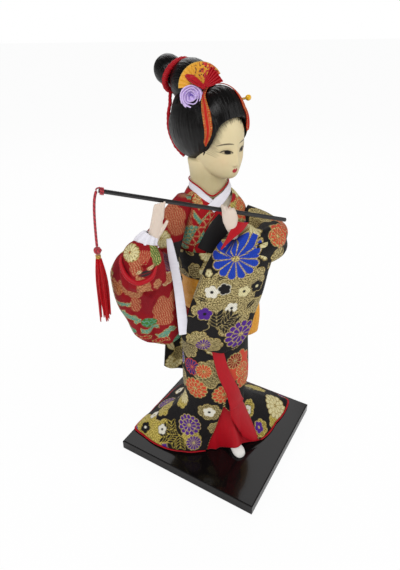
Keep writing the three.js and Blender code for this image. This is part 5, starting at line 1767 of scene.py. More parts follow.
ARM_SLEEVE = [
    [12, -2.5, 211, 8.5, 8.5], [21.5, -8, 206, 10, 9.5], [27.5, -19, 201, 12.5, 11],
    [22, -30, 201.5, 13, 11],
    [12, -36.5, 201, 13, 10], [4, -39.4, 203.5, 12.5, 8.5], [-2.5, -40.6, 209, 12, 6.8],
    [-5.6, -41.4, 212.4, 11.6, 6],
]
# Sharp folds of the right sleeve: two points in x and z, depth and width
SLEEVE_CREASES = [
    [-77, 193, -68.5, 182.5, 1.6, 1.6], [-68.5, 182.5, -59.3, 175.7, 2.2, 1.7],
    [-55.7, 193, -59.3, 177.2, 2.4, 1.8],
    [-66.5, 174.7, -64, 157.4, 2.4, 3.2], [-84, 190, -73, 176.1, 1.8, 1.8],
    [-73, 176.1, -70.3, 160, 1.6, 1.5],
    [-55.9, 176.1, -58.6, 158, 1.4, 1.6], [-60, 152, -56, 136, 1.3, 1.6],
    [-70, 157, -64, 140, 1.2, 1.4],
]


def creases(x, z, lines):
    """Depth of sharp folds: for each, its depth times a bell of the distance to a straight piece of
    line.
    """
    total = 0
    for x0, z0, x1, z1, depth, wide in lines:
        run_x, run_z = x1 - x0, z1 - z0
        t = np.clip(((x - x0) * run_x + (z - z0) * run_z) / (run_x**2 + run_z**2), 0, 1)
        away = np.hypot(x - x0 - t * run_x, z - z0 - t * run_z)
        total = total + depth * np.exp(-((away / wide) ** 2)) * np.sin(np.pi
            * (0.08 + 0.84 * t)) ** 0.5
    return total


SLEEVE_MOTIFS = {
    "right": [
        ("cloud", [-78, -36, 196], 9, 0, "dark_red dark_red dark_red"),
        ("cloud", [-65, -38, 168], 8, 60, "dark_red dark_red dark_red"),
        ("hatch", [-52, -36.5, 161], 8.6, 8, "salmon red black"),
        ("hatch", [-71.8, -38.5, 182], 6, 50, "salmon rust black"),
        ("hatch", [-81.9, -35, 184], 4, 20, "orange rust black"),
        ("hatch", [-69.7, -36, 169.4], 4.4, 15, "salmon red black"),
        ("hatch", [-49, -33, 197.5], 5.4, 45, "navy salmon black"),
        ("hatch", [-38.5, -17, 219.5], 7.4, 10, "salmon red black"),
        ("cloud", [-49.6, -36, 187.1], 5, 0, "salmon cream rust"),
        ("wave", [-77.4, -33, 170.9], 4.6, -15, "teal gold_line teal"),
        ("wave", [-74.1, -33, 158.6], 7.4, -62, "teal gold_line teal"),
        ("scallops", [-61.6, -34, 153.2], 3.8, 0, "green teal teal"),
        ("wave", [-61.1, -33, 146.6], 6, 4, "teal gold_line teal"),
        ("wave", [-49.8, -31, 141.6], 7.6, 30, "teal gold_line teal"),
        ("wave", [-66, -30, 139], 5, -20, "red gold_line red"),
        ("wave", [-54, -30, 134], 6, 10, "red gold_line red"),
    ],
    "cuff": [
        ("hatch", [-69.6, -50.5, 206.6], 4.6, 10, "salmon red black"),
        ("rays", [-63.8, -50.5, 209.5], 5.6, 0, "red salmon red"),
        ("chrysanthemum", [-71.5, -46, 212.5], 5.2, 20, "cream gold_line red"),
        ("hatch", [-57, -47.5, 210], 4.6, 0, "green gold_line green"),
        ("hatch", [-66, -52, 191.5], 5, 30, "salmon rust black"),
        ("cloud", [-58, -51, 192], 3.4, 0, "salmon dark_red rust"),
        # Painted shade: this dark leaf stands for the shadowed mouth of the cuff's opening
        ("leaf", [-64.3, -53, 201.4], 4.4, 12, "night dark_red black"),
        ("leaf", [-60, -52, 203.6], 2.8, 35, "cream salmon cream"),
        ("leaf", [-67, -53, 203.4], 2.2, 20, "cream rust cream"),
    ],
    "left": [
        ("cloud", [-26, -40, 177], 11, 10, "old_gold gold_line old_gold"),
        ("cloud", [2, -44, 182], 14, 40, "old_gold gold_line old_gold"),
        ("cloud", [-12, -44, 176], 17, 0, "old_gold old_gold old_gold"),
        ("cloud", [-22, -41, 162], 12, 20, "old_gold gold_line old_gold"),
        ("cloud", [-3, -43, 162], 15, 50, "old_gold old_gold old_gold"),
        ("cloud", [12, -40, 160], 8, 20, "old_gold gold_line old_gold"),
        ("cloud", [-5, -42, 148], 12, 20, "old_gold gold_line old_gold"),
        ("leaf", [-18.2, -42.6, 205], 7.5, 65, "black black black"),
        ("chrysanthemum", [-6.2, -43, 200.2], 15, 12, "blue gold_line gold_line"),
        ("leaf", [-15.4, -43.5, 186.6], 3.2, 20, "black old_gold black"),
        ("plum", [-22, -40.2, 189.1], 2.4, 0, "cream old_gold old_gold"),
        ("plum", [-20.9, -42.6, 176.6], 4.8, 10, "white old_gold black"),
        ("plum", [-13.1, -44.3, 178.6], 4.2, 30, "black white black"),
        ("plum", [0.7, -44, 175], 4.6, 0, "cream old_gold black"),
        ("plum", [9.7, -43.2, 176.9], 4.6, 20, "black old_gold cream"),
        ("plum", [-7.7, -44.1, 162.7], 4.6, 40, "white old_gold black"),
        ("leaf", [-27, -41, 171.1], 4, -20, "black old_gold black"),
        ("leaf", [6.5, -41.8, 162.5], 5, 50, "black old_gold black"),
        ("cloud", [-31, -40, 150], 9, 30, "black old_gold black"),
        ("spray", [-17, -43, 146], 15, 50, "black old_gold black"),
        ("spray", [-14, -43, 148], 13, 5, "black old_gold black"),
        ("plum", [-25.4, -41.3, 159.4], 5.2, 10, "purple gold_line black"),
        ("cloud", [-30, -39.6, 138], 7.5, 0, "old_gold gold_line old_gold"),
        ("cloud", [-20, -39, 131], 8, 0, "old_gold gold_line old_gold"),
        ("chrysanthemum", [-25.7, -39, 131.5], 5.6, 0, "purple gold_line gold_line"),
        ("double_chrysanthemum", [1.7, -39.2, 136.3], 12.4, 0, "purple gold_line old_gold"),
    ],
    "arm": [
        ("cloud", [25, -38, 209], 9, 0, "coral gold_line coral"),
        ("chrysanthemum", [24, -39, 209], 6, 0, "coral gold_line gold_line"),
        ("cloud", [22, -14.7, 213.7], 9, 20, "old_gold gold_line old_gold"),
        ("cloud", [30, -24, 209], 8, 20, "coral gold_line old_gold"),
        ("cloud", [24, -42.4, 197], 6, 20, "old_gold gold_line old_gold"),
        ("chrysanthemum", [-6.6, -45.4, 200.1], 15, 12, "blue gold_line gold_line"),
    ],
}


class DOLL_OT_sleeves(bpy.types.Operator):
    """Makes both sleeves: bags with folds, the rolled cuff, the white strip, undersleeve and red
    facing
    """

    bl_idname = "doll.sleeves"
    bl_label = "Sleeves"

    def execute(self, context):
        depth = context.scene.doll_sizes.fold_depth / MM

        def right_folds(a, hang, x):
            z = RIGHT_BAG[-1][0] - (RIGHT_BAG[-1][0] - RIGHT_BAG[0][0]) * hang
            sharp = creases(x, z, SLEEVE_CREASES) * (np.sin(a) < 0)
            lean = x + 60 + 16 * (hang - 0.5)
            fan = np.sin(lean / 2.9 + 1.5 * hang) + 0.9 * np.sin((x + 60) / 5.2 - 3.5 * hang + 1)
            return depth * hang**0.7 * fan * np.abs(np.sin(a)) * (1 - 0.3 * hang) - sharp

        def left_folds(a, hang, x):
            slant = np.sin((x + 9 * hang) / 7.5 + 2.2) + 0.5 * np.sin((x - 14 * hang) / 4.1)
            over = LEFT_BAG[-1][0] - (LEFT_BAG[-1][0] - LEFT_BAG[0][0]) * hang - (178 + 0.47 * x)
            layer = 1.5 / (1 + np.exp(-over / 0.6)) * np.clip((x + 4) / 9, 0, 1)
            return 0.5 * depth * np.abs(np.sin(a)) * slant * (0.15 + hang) + layer * (np.sin(a) < 0)

        right = hanging(RIGHT_BAG, 310, 212, right_folds)
        # The right sleeve's ground is a darker red than the bodice's, as painted shade
        self.bag("sleeve_right_bag", right, "red_in_shade", "right", RED_SCATTER, "redBrocade",
                 "sleeve_right", 11)
        left = hanging(LEFT_BAG, 350, 205, left_folds)
        self.bag("sleeve_left_bag", left, "black", "left", SCATTER, "blackBrocade", "sleeve_left",
                 14)

        def gather(a, t):
            return 0.7 * np.sin(7 * a + 5 * t) * np.sin(np.pi * t) + 0.5 * np.sin(4 * a - 7 * t)

        def cuff_folds(a, t):
            opening = 3.4 * np.exp(-(((a - np.pi) / 0.34) ** 2) - ((t - 0.64) / 0.05) ** 2)
            return gather(a, t) - opening

        cuff = rings(CUFF, 210, 130, [1, 0, 0], ruffle=cuff_folds)
        # The cuff's ground is the same darker red, as painted shade
        self.bag("sleeve_right_cuff_roll", cuff, "red_in_shade", "cuff", [], "redBrocade",
                 "sleeve_right_cuff", 9)
        arm = rings(ARM_SLEEVE, 240, 190, [0, 0, 1], ruffle=gather)
        self.bag("sleeve_left_arm_cloth", arm, "black", "arm", SCATTER, "blackBrocade",
                 "sleeve_left_arm", 13)
        lip = smooth_line([[-76.6, -43, 209.7], [-77.2, -44.8, 206], [-76, -48, 201],
                           [-73, -51.2, 197.4],
                           [-68, -53.3, 195.6], [-61, -53.2, 198], [-56.8, -50.8, 204.7]], 60)
        t = np.linspace(0, 1, 60)
        roll = surface("sleeve_right_lip", tube(lip, 1.5 * np.sin(np.pi * t) ** 0.5 + 0.15, 16),
                       wrap=True, caps=True)
        dressed(roll, "Satin_red", "stand", "redBrocade", "sleeve_right_cuff")
        self.strip()
        self.undersleeve()
        self.facing()
        return {"FINISHED"}

    def bag(self, name, points, colour, key, kinds, slot, node, apart):
        """A bag of brocade: its motifs are drawn on the closed surface, and the right bag's outer
        edge and foot get a dashed gilt line.
        """
        drawn = SLEEVE_MOTIFS[key]
        extra = scattered(points, kinds, apart, 7, clear_of(drawn, 7)) if kinds else []
        ink = patterned(points, colour, extra + drawn, wrap=True)
        if key == "right":
            x, z = points[..., 0], points[..., 2]
            hem = (x < x.min(1, keepdims=True) + 0.8) | (z < z.min() + 1.6)
            lay(ink, hem * (np.floor(z / 1.3 + x) % 3 > 0) * (z < 192), "gold_line")
            # Painted shade: dark grey laid on the bag's part beside the trunk, behind and beside the
            # white strip
            lay(ink, 1.0 * (x > -43.6) * (z > 182) * (z < 206), "night")
        piece = surface(name, points, wrap=True, caps=True, ink=ink)
        dressed(piece, "Brocade_kinran", "stand", slot, node)
        declare(piece)

    def strip(self):
        """The white strip on the sleeve's inner edge: a straight tape that widens downwards."""
        stations = [[142.7, -42.5, -35.3], [177.2, -44.4, -38.3], [210, -47.6, -43.6],
                    [212.5, -47.6, -44.4]]
        z = np.linspace(142.7, 212.5, 160)
        left, right = (c[:, None] for c in between(stations, z).T)
        u = np.linspace(0, 1, 22)[None]
        y = -38.5 + 5.5 * (z[:, None] - 142.7) / 69.8 + 0.8 * u - 0.4 * (1 - (2 * u - 1) ** 2)
        points = np.stack([left + (right - left) * u, y, z[:, None] + 0 * u], -1)
        sewn("sleeve_right_tape", points, 0.6, "Tape_white", "white", "sleeve_right_strip",
             "folded",
             ["sleeve_right_bag"])

    def undersleeve(self):
        """The white undersleeve at the wrist: rings with gathers that close round the wrist."""
        stations = [[-61.4, -39.8, 211.5, 6.6, 5.8], [-60.8, -39.3, 214, 7.4, 6.4],
                    [-59.6, -39, 216.4, 6.2, 5.0],
                    [-57.6, -38.9, 219.2, 4.6, 3.5], [-57.4, -38.9, 219.5, 3.8, 2.8]]

        def gather(a, t):
            return 0.35 * np.sin(9 * a + 2 * t) + 0.2 * np.sin(5 * a)

        sewn("undersleeve_cloth", rings(stations, 96, 50, [1, 0, 0], ruffle=gather), 0.4,
             "Tape_white",
             "white", "undersleeve_right", "gathered", ["arm_wire_right"], wrap=True)

    def facing(self):
        """The red facing of the left sleeve: a long triangle of satin from the wrist down the
        sleeve's front.
        """
        t = np.linspace(0, 1, 80)
        near = along([[-5.7, -43.4, 224], [-10.7, -45.8, 219.7], [-14, -46.9, 213.8],
                      [-16.8, -46.8, 208.6]], t)
        far = along([[2.1, -42.6, 222.2], [-3.4, -46.2, 218.4], [-9.6, -47.2, 214.4],
                     [-16.4, -46.9, 207.8]], t)
        u = np.linspace(0, 1, 24)[:, None]
        points = near[None] + (far - near)[None] * u[..., None]
        points[..., 1] -= 0.7 * np.sin(np.pi * u) * (1 - t[None])
        sewn("sleeve_left_facing", points, 0.5, "Satin_red", "red", "sleeve_left_lining", "folded",
             ["sleeve_left_arm_cloth"])


def fused(name, parts, voxel, passes):
    """Closed surfaces joined into one skin by a voxel remesh, then smoothed; its colour is put on
    afterwards.
    """
    pieces = [surface(name + str(i), grid, wrap=True, caps=True) for i, grid in enumerate(parts)]
    with bpy.context.temp_override(active_object=pieces[0], selected_editable_objects=pieces):
        bpy.ops.object.join()
    piece = pieces[0]
    piece.name = name
    skin = piece.modifiers.new("Skin", "REMESH")
    skin.mode, skin.voxel_size, skin.use_smooth_shade = "VOXEL", voxel * MM, True
    smooth = piece.modifiers.new("Ease", "SMOOTH")
    smooth.factor, smooth.iterations = 0.5, passes
    made = bpy.data.meshes.new_from_object(piece.evaluated_get(bpy.context.evaluated_depsgraph_get()))
    piece.modifiers.clear()
    piece.data = made
    made.name = name
    at = np.empty(len(made.vertices) * 3, np.float32)
    made.vertices.foreach_get("co", at)
    return piece, at.reshape(-1, 3) / MM


HANDS = {
    "right": {
        "palm": [[-58, -38.4, 213.1, 0.6, 0.5], [-57.9, -38.4, 213.5, 3.4, 2.6],
                 [-56.4, -38.6, 217, 3.8, 2.6],
                 [-55, -39.2, 221.5, 3.8, 2.4], [-54.1, -40, 226.5, 3.6, 2.2],
                 [-53.5, -40.8, 231, 3.3, 1.9],
                 [-53.1, -41.3, 234, 2.8, 1.5], [-53, -41.4, 235, 1, 0.6]],
        "fingers": [[[-55.6 + 1.55 * i, -40.6, 229], [-55.4 + 1.6 * i, -41.9, 234],
                     [-54.9 + 1.7 * i, -42.6, 237.5 + 0.3 * i],
                     [-54.4 + 1.75 * i, -42.7, 239.2 + 0.4 * i]]
                    for i in range(4)],
        "thumb": [[-53.4, -39.7, 218.6], [-50.9, -40.3, 222.4], [-48.9, -40.9, 225.8],
                  [-47.7, -41.2, 228.2]],
    },
    "left": {
        "palm": [[-5.4, -40.6, 211.8, 0.6, 0.5], [-5.6, -40.7, 212.3, 2.3, 1.9],
                 [-8.2, -42.6, 217, 2.5, 1.9],
                 [-9.6, -43.7, 221.5, 3.6, 2.1], [-10.4, -44.2, 226, 4.7, 2.2],
                 [-11.6, -44.5, 229.6, 4.4, 2.0],
                 [-12.8, -44.4, 232, 3.2, 1.6], [-13, -44.3, 232.8, 1, 0.7]],
        "fingers": [[[-14.4 + 2.3 * i, -44.5, 229.4 - 0.6 * i],
                     [-15 + 2.4 * i, -44.4, 232.6 - 0.9 * i],
                     [-15.2 + 2.4 * i, -42.8, 234.2 - 1.0 * i],
                     [-14.8 + 2.4 * i, -40.8, 234.2 - 0.9 * i]]
                    for i in range(4)],
        "thumb": [[-10.8, -43.6, 225], [-12.8, -45.2, 229.4], [-14.3, -45.6, 232.6],
                  [-14.9, -45.2, 235.2]],
    },
}


class DOLL_OT_hands(bpy.types.Operator):
    """Makes both hands: palm, four closed fingers and thumb, joined into one smooth painted skin"""

    bl_idname = "doll.hands"
    bl_label = "Hands"

    def execute(self, context):
        for side, shape in HANDS.items():
            # A finger's radius runs from knuckle to tip as 1 - 0.38 t^2, closed round at both ends
            t = np.linspace(0, 1, 26)
            wide = (1 - 0.38
                    * t**2) * np.sqrt(np.clip(1 - (2 * np.clip(t, 0.97, 1) - 1.94) ** 2 * 250,
                                              0.02, 1))
            grids = [rings(shape["palm"], 40, 60, [1, 0, 0])]
            for line in shape["fingers"]:
                grids.append(tube(smooth_line(line, 26), 1.15 * wide, 16))
            grids.append(tube(smooth_line(shape["thumb"], 26), 1.3 * wide, 16))
            hand, at = fused("hand_skin_" + side, grids, 0.3, 6)
            put_ink(hand, ground(at[None], "hand")[0])
            dressed(hand, "Gofun_shell_lacquer", "stand", "skin", "hand_" + side)
        return {"FINISHED"}


FACE = [
    [-18.5, -10.8, 2, 2.2], [-18, -10.2, 4.4, 4.6], [-16.6, -8.4, 8, 8], [-14, -5.6, 11.2, 11.5],
    [-9.5, -2.8, 13.8, 15],
    [-4, -1, 15.5, 17.2], [2, 0, 16.4, 18], [10, 0.5, 16.2, 18.4], [18, 1, 13.5, 16.5],
    [24, 2, 8.5, 11],
    [26.5, 2, 4, 5],
]
NECK = [[226.9, 12.4], [227.6, 12.6], [229, 12.6], [232, 12.4], [236, 12.3], [240, 12.5],
        [246, 13.3], [251, 14],
        [253, 9]]
NECK_AXIS = (-11, 3)
# Nose: height, how far it stands out, and its half width
NOSE = [[-10.4, 0, 1.6], [-9.2, 1.0, 2.0], [-8, 2.5, 1.9], [-6.6, 2.4, 1.6], [-3, 1.4, 1.35],
        [2, 0.6, 1.5],
        [7, 0, 2]]
HAIRLINE = (14.5, 19.8, 2.6)
# Rolls of hair: middle, radii, tilt about the side axis, and the axis that its strands turn round
# or run along
FRONT_HAIR = ([0, -1, 12], [18, 17, 23.5], 0, "round")
RIGHT_HAIR = ([-10.5, 9, 10.5], [11, 23.5, 19], -0.24, "along")
LEFT_HAIR = ([10.5, 9, 10.5], [11, 23.5, 19], -0.24, "along")
BACK_HAIR = ([0, 16, 13], [18, 21.5, 23], 0, "along")
TOPKNOT = ([0, 25, 33.6], [12.5, 16.5, 14], 0, "round")
BUN = ([0, 49, 37.6], [9.2, 11, 9.8], 0, "round")
HAIR_CORD = [[-5.2, 40.5, 25.6], [-8.2, 37.4, 23.2], [-10.8, 34.2, 19.6], [-12, 34.4, 14],
             [-12.6, 33.6, 5.5], [-12, 28, -4.5],
             [-10, 20.5, -10.5]]
# Course of the crown ribbon: the angle from the crown, and how far back it lies
RIBBON_COURSE = [[-112, 4.2], [-106, 2.5], [-95, -0.4], [-80, -2.1], [-66, -2.5], [-52, -2.1],
                 [-40, -0.9], [-27, 1.2],
                 [-12, 2], [0, 0], [12, -4], [22, -7], [35, -7.5], [69, -5.4], [96, -4.6],
                 [112, -4]]
# The crown ribbon: its plane's tilt in radians, the angle of its ends, and its half width
RIBBON_TILT = -0.45
RIBBON_END = 112
RIBBON_HALF = 2.2
# The fan: its pleats, the angles of its sides, its radius, and its axes and place in the head's
# axes
FAN_PLEATS = 13
FAN_SIDES = (34, 186)
FAN_RADIUS = 13.6
FAN_AXES = np.array([[0.62, -0.78, 0], [0.2, 0.16, 0.966], [-0.754, -0.599, 0.256]])
FAN_AT = np.array([-10.8, 4, 35])


def ease(t):
    """A smooth step from 0 to 1."""
    t = np.clip(t, 0, 1)
    return t * t * (3 - 2 * t)


def bell(x, width):
    """A bell of height 1, exp(-(x / width)^2)."""
    return np.exp(-((x / width) ** 2))


def face_relief(x, z):
    """How far the features stand out: nose, lips, chin and cheeks, less the hollows of the eyes."""
    ridge, wide = np.moveaxis(between(NOSE, z), -1, 0)
    side = np.abs(x)
    nose = ridge * bell(x, wide) + 0.35 * bell(side - 1.5, 0.7) * bell(z + 8.3, 0.8)
    lips = 0.75 * bell(x, 2.6) * bell(z + 12.1, 1.6) - 0.4 * bell(x, 2.3) * bell(z + 12.1, 0.4)
    chin = 0.55 * bell(x, 4.4) * bell(z + 15.8, 2.2)
    cheeks = 0.45 * bell(side - 8, 4.2) * bell(z + 6.5, 4)
    eyes = -0.75 * bell(side - 6.4, 3.8) * bell(z - 1.2, 2.2) + 0.35 * bell(side - 6.4,
        3.4) * bell(z - 0.1, 0.8)
    return nose + lips + chin + cheeks + eyes


def face_front(x, z):
    """How far forward the bare face reaches at x and z."""
    y, rx, ry = np.moveaxis(between(FACE, z), -1, 0)
    return y - ry * np.sqrt(np.clip(1 - (x / rx) ** 2, 0, 1))


def in_hairline(x, z):
    """Distance from the middle of the face as a share of its window: 1 on the hairline."""
    wide, high, power = HAIRLINE
    return ((np.abs(x) / wide) ** power + (np.abs(z) / high) ** power) ** (1 / power)


def hairline(turn):
    """The hairline's x and z at an angle: the edge of the face's window."""
    wide, high, power = HAIRLINE
    return power_of(np.cos(turn), 2 / power) * wide, power_of(np.sin(turn), 2 / power) * high


def hair_ball(roll, sides, count, seed):
    """A roll of hair: an ellipsoid with combed grooves, sunk behind the face inside the hairline.
    """
    middle, radii, tilt, way = roll
    a, b = spread(circle(sides), np.linspace(-1.56, 1.56, count))
    if way == "round":
        shape = np.stack([np.sin(b), np.cos(b) * np.cos(a), np.cos(b) * np.sin(a)], -1)
        across, run = b * 26, a * 1.5
    else:
        shape = np.stack([np.cos(b) * np.cos(a), np.cos(b) * np.sin(a), np.sin(b)], -1)
        across, run = a * 26, b * 1.5
    comb = noise(across + 0.6 * np.sin(run), run, seed) + 0.5 * noise(2.4 * across, run,
        seed + 3) - 0.75
    p = shape * radii * (1 + 0.02 * comb * np.cos(b) ** 0.5)[..., None]
    c, s = np.cos(tilt), np.sin(tilt)
    p = np.stack([p[..., 0], c * p[..., 1] - s * p[..., 2], s * p[..., 1] + c * p[..., 2]],
                 -1) + middle
    sink = ease((1.03 - in_hairline(p[..., 0], p[..., 2])) / 0.12) * ease((-4 - p[..., 1]) / 2)
    p[..., 1] += 6 * sink
    return p


def hair_reach(start, way):
    """How far a ray goes before it leaves the front and side rolls, which are ellipsoids."""
    best = 0
    for middle, radii, tilt, _ in (FRONT_HAIR, RIGHT_HAIR, LEFT_HAIR):
        c, s = np.cos(tilt), np.sin(tilt)
        turn = np.array([[1, 0, 0], [0, c, -s], [0, s, c]])
        o, d = ((start - middle) @ turn) / radii, (way @ turn) / radii
        aa, ab, bb = (d * d).sum(-1), (o * d).sum(-1), (o * o).sum(-1) - 1
        inside_it = ab * ab - aa * bb
        best = np.maximum(best,
                          np.where(inside_it > 0, (-ab + np.sqrt(np.maximum(inside_it, 0))) / aa,
                                   0))
    return best


def in_fan(points):
    """Points on the fan's own plane, in the head's axes."""
    return np.asarray(points, float) @ FAN_AXES + FAN_AT


def on_head(name, points, material, slot, *nodes, **more):
    """A surface in the head's own axes, which turns with the head."""
    thick = more.pop("thick", None)
    piece = surface(name, from_head(points), **more)
    if thick:
        thicken(piece, thick)
    return dressed(piece, material, "head", slot, *nodes)


class DOLL_OT_head(bpy.types.Operator):
    """Makes the painted face and neck, with eyes, brows and lips, and the fine strokes along the
    hairline
    """

    bl_idname = "doll.head"
    bl_label = "Face"

    def execute(self, context):
        z = np.linspace(FACE[0][0], FACE[-1][0], 170)
        y, rx, ry = (c[:, None] for c in between(FACE, z).T)
        a = circle(200)[None]
        x = rx * np.cos(a)
        rows = z[:, None] + 0 * x
        front = np.clip(-np.sin(a), 0, 1) ** 0.5
        skull = np.stack([x, y + ry * np.sin(a) - face_relief(x, rows) * front, rows], -1)
        height = np.linspace(NECK[0][0], NECK[-1][0], 60)
        wide = between(NECK, height)
        neck = np.stack([NECK_AXIS[0] + wide * np.cos(a), NECK_AXIS[1] + wide * np.sin(a),
                         height[:, None] + 0 * a], -1)
        face, at = fused("face_skin", [from_head(skull), neck], 0.34, 10)
        put_ink(face, self.paint(to_head(at)))
        dressed(face, "Gofun_shell_lacquer", "head", "skin", "head")
        self.strokes(context.scene.doll_sizes.hairline_count)
        return {"FINISHED"}

    def paint(self, at):
        """The face's colours by their place in the head's axes: eyes, brows and lips as smooth
        masks, with painted shade round the eyes and under the nose and a painted shadow on the neck.
        """
        x, y, z = at.T
        ink = ground(at[None], "skin")[0]
        front = y < -8
        side = np.abs(x)
        # Painted shadow of the chin: the neck is darkened downwards from under the jaw
        lay(ink, np.clip((-10 - z) / 9, 0, 1), "painted_chin_shadow")
        # Painted shade in the hollows round the eyes
        lay(ink, 0.35 * bell(side - 6.6, 5) * bell(z - 0.8, 2.2) * front, "painted_shade")
        lay(ink, 0.22 * bell(side - 8.5, 4) * bell(z + 5, 3.5) * front, "blush")
        # Painted shadow under the nose, at the nostrils
        lay(ink, 0.5 * bell(side - 1.0, 0.7) * bell(z + 9.4, 0.5) * front, "painted_shade")
        # Eye: between two arcs, 1.35 mm up and 0.85 mm down over a half width of 3.7 mm
        eye_at, eye_half = 6.3, 3.7
        u = (side - eye_at) / eye_half
        arc = np.clip(1 - u * u, 0, 1)
        level = z - 0.12 * (side - eye_at) + 0.1
        lid, low = 1.35 * arc**0.8, -0.85 * arc
        opened = inside(np.maximum(level - lid, low - level), 0.25) * (np.abs(u) < 1)
        lay(ink, opened * front, "eye_white")
        iris = inside(np.hypot(side - 6.0, level - 0.3) - 1.95, 0.25)
        lay(ink, opened * iris * front, "iris")
        lay(ink, opened * inside(np.hypot(side - 6.0, level - 0.3) - 1.15, 0.25) * front, "lash")
        line = inside(np.abs(level - lid) - 0.36, 0.2) * (np.abs(u) < 1.02)
        tail = inside(np.abs(level - 0.06 * (side - 10)) - 0.16,
                      0.2) * inside(np.abs(side - 10.6) - 1.3, 0.8)
        under = 0.7 * inside(np.abs(level - low) - 0.14, 0.22) * (np.abs(u) < 1)
        lay(ink, np.maximum.reduce([line, 0.8 * tail, under]) * front, "lash")
        crease = 0.35 * inside(np.abs(level - lid - 1.0) - 0.1, 0.3) * (np.abs(u) < 1)
        lay(ink, crease * front, "iris")
        # Brow: an arc 0.84 mm thick that tapers to both ends
        brow_at, brow_half = 7.0, 4.9
        u = (side - brow_at) / brow_half
        lift = 4.3 + 0.95 * np.clip(1 - u * u, 0, 1) - 0.25 * u
        thick = 0.42 * np.sqrt(np.clip(1 - u * u, 0, 1))
        lay(ink, 0.95 * inside(np.abs(z - lift) - thick, 0.3) * (np.abs(u) < 1) * front, "brow")
        # Lips: two lobes above, one below
        top = 1.5 * bell(side - 0.9, 1.1) - 0.1
        low = -1.5 * np.sqrt(np.clip(1 - (x / 2.1) ** 2, 0, 1))
        level = z + 12.1
        mouth = inside(np.maximum.reduce([level - top, low - level, side - 2.4]), 0.25)
        lay(ink, mouth * front, "lips")
        lay(ink, 0.7 * mouth * inside(np.abs(level) - 0.12, 0.2) * front, "dark_red")
        return ink

    def strokes(self, count):
        """Fine brush strokes from the hairline onto the face, each a thin taper laid on the skin.
        """
        i = np.arange(count)
        turn = np.radians(-3 + 186 * (i + 0.6 * lattice(i, 2, 3)) / count)
        edge = np.stack(hairline(turn), -1)
        long = (2.0 + 1.9 * lattice(i, 4, 1)) * (0.75 + 0.5 * np.abs(np.cos(turn)))
        t = np.linspace(-0.5, 1, 7)[None, :, None]
        inward = unit(edge * [1.0, 0.9])
        lean = np.stack([0 * turn, -np.abs(np.cos(turn))], -1)
        flat = edge[:, None] - (inward * long[:, None])[:, None] * t + (lean
            * long[:, None])[:, None] * t * 0.7
        y = face_front(flat[..., 0], flat[..., 1]) - 0.04
        lines = np.stack([flat[..., 0], y, flat[..., 1]], -1)
        taper = 0.16 * (1 - 0.8 * np.clip(np.linspace(-0.5, 1, 7), 0, 1)[None])
        made = many_tubes("hairline_strokes", from_head(lines), taper)
        dressed(made, "Hair_silk", "head", "hair")


class DOLL_OT_hair(bpy.types.Operator):
    """Makes the dressed hair: combed rolls in front, at the sides and back, the topknot and the bun
    """

    bl_idname = "doll.hair"
    bl_label = "Hair"

    def execute(self, context):
        for seed, (node, roll, sides, count) in enumerate((
            ("hair_front", FRONT_HAIR, 300, 120), ("hair_side_right", RIGHT_HAIR, 300, 90),
            ("hair_side_left", LEFT_HAIR, 300, 90), ("hair_back", BACK_HAIR, 260, 56),
            ("topknot", TOPKNOT, 120, 120), ("bun", BUN, 120, 120),
        )):
            grid = hair_ball(roll, sides, count, seed)
            on_head(node + "_roll", grid, "Hair_silk", "hair", node, wrap=True, caps=True,
                    turned=roll[3] == "round")
        # The rounded edge of hair round the face
        turn = np.radians(np.linspace(-4, 184, 150))
        x, z = hairline(turn)
        x, z = x * 1.05, z * 1.04
        line = np.stack([x, face_front(x, z) + 0.7, z], -1)
        wide = 1.5 * np.sin(np.pi * np.linspace(0.002, 0.998, 150)) ** 0.35
        on_head("hair_edge_roll", tube(line, wide, 18), "Hair_silk", "hair", wrap=True, caps=True,
                turned=True)
        return {"FINISHED"}


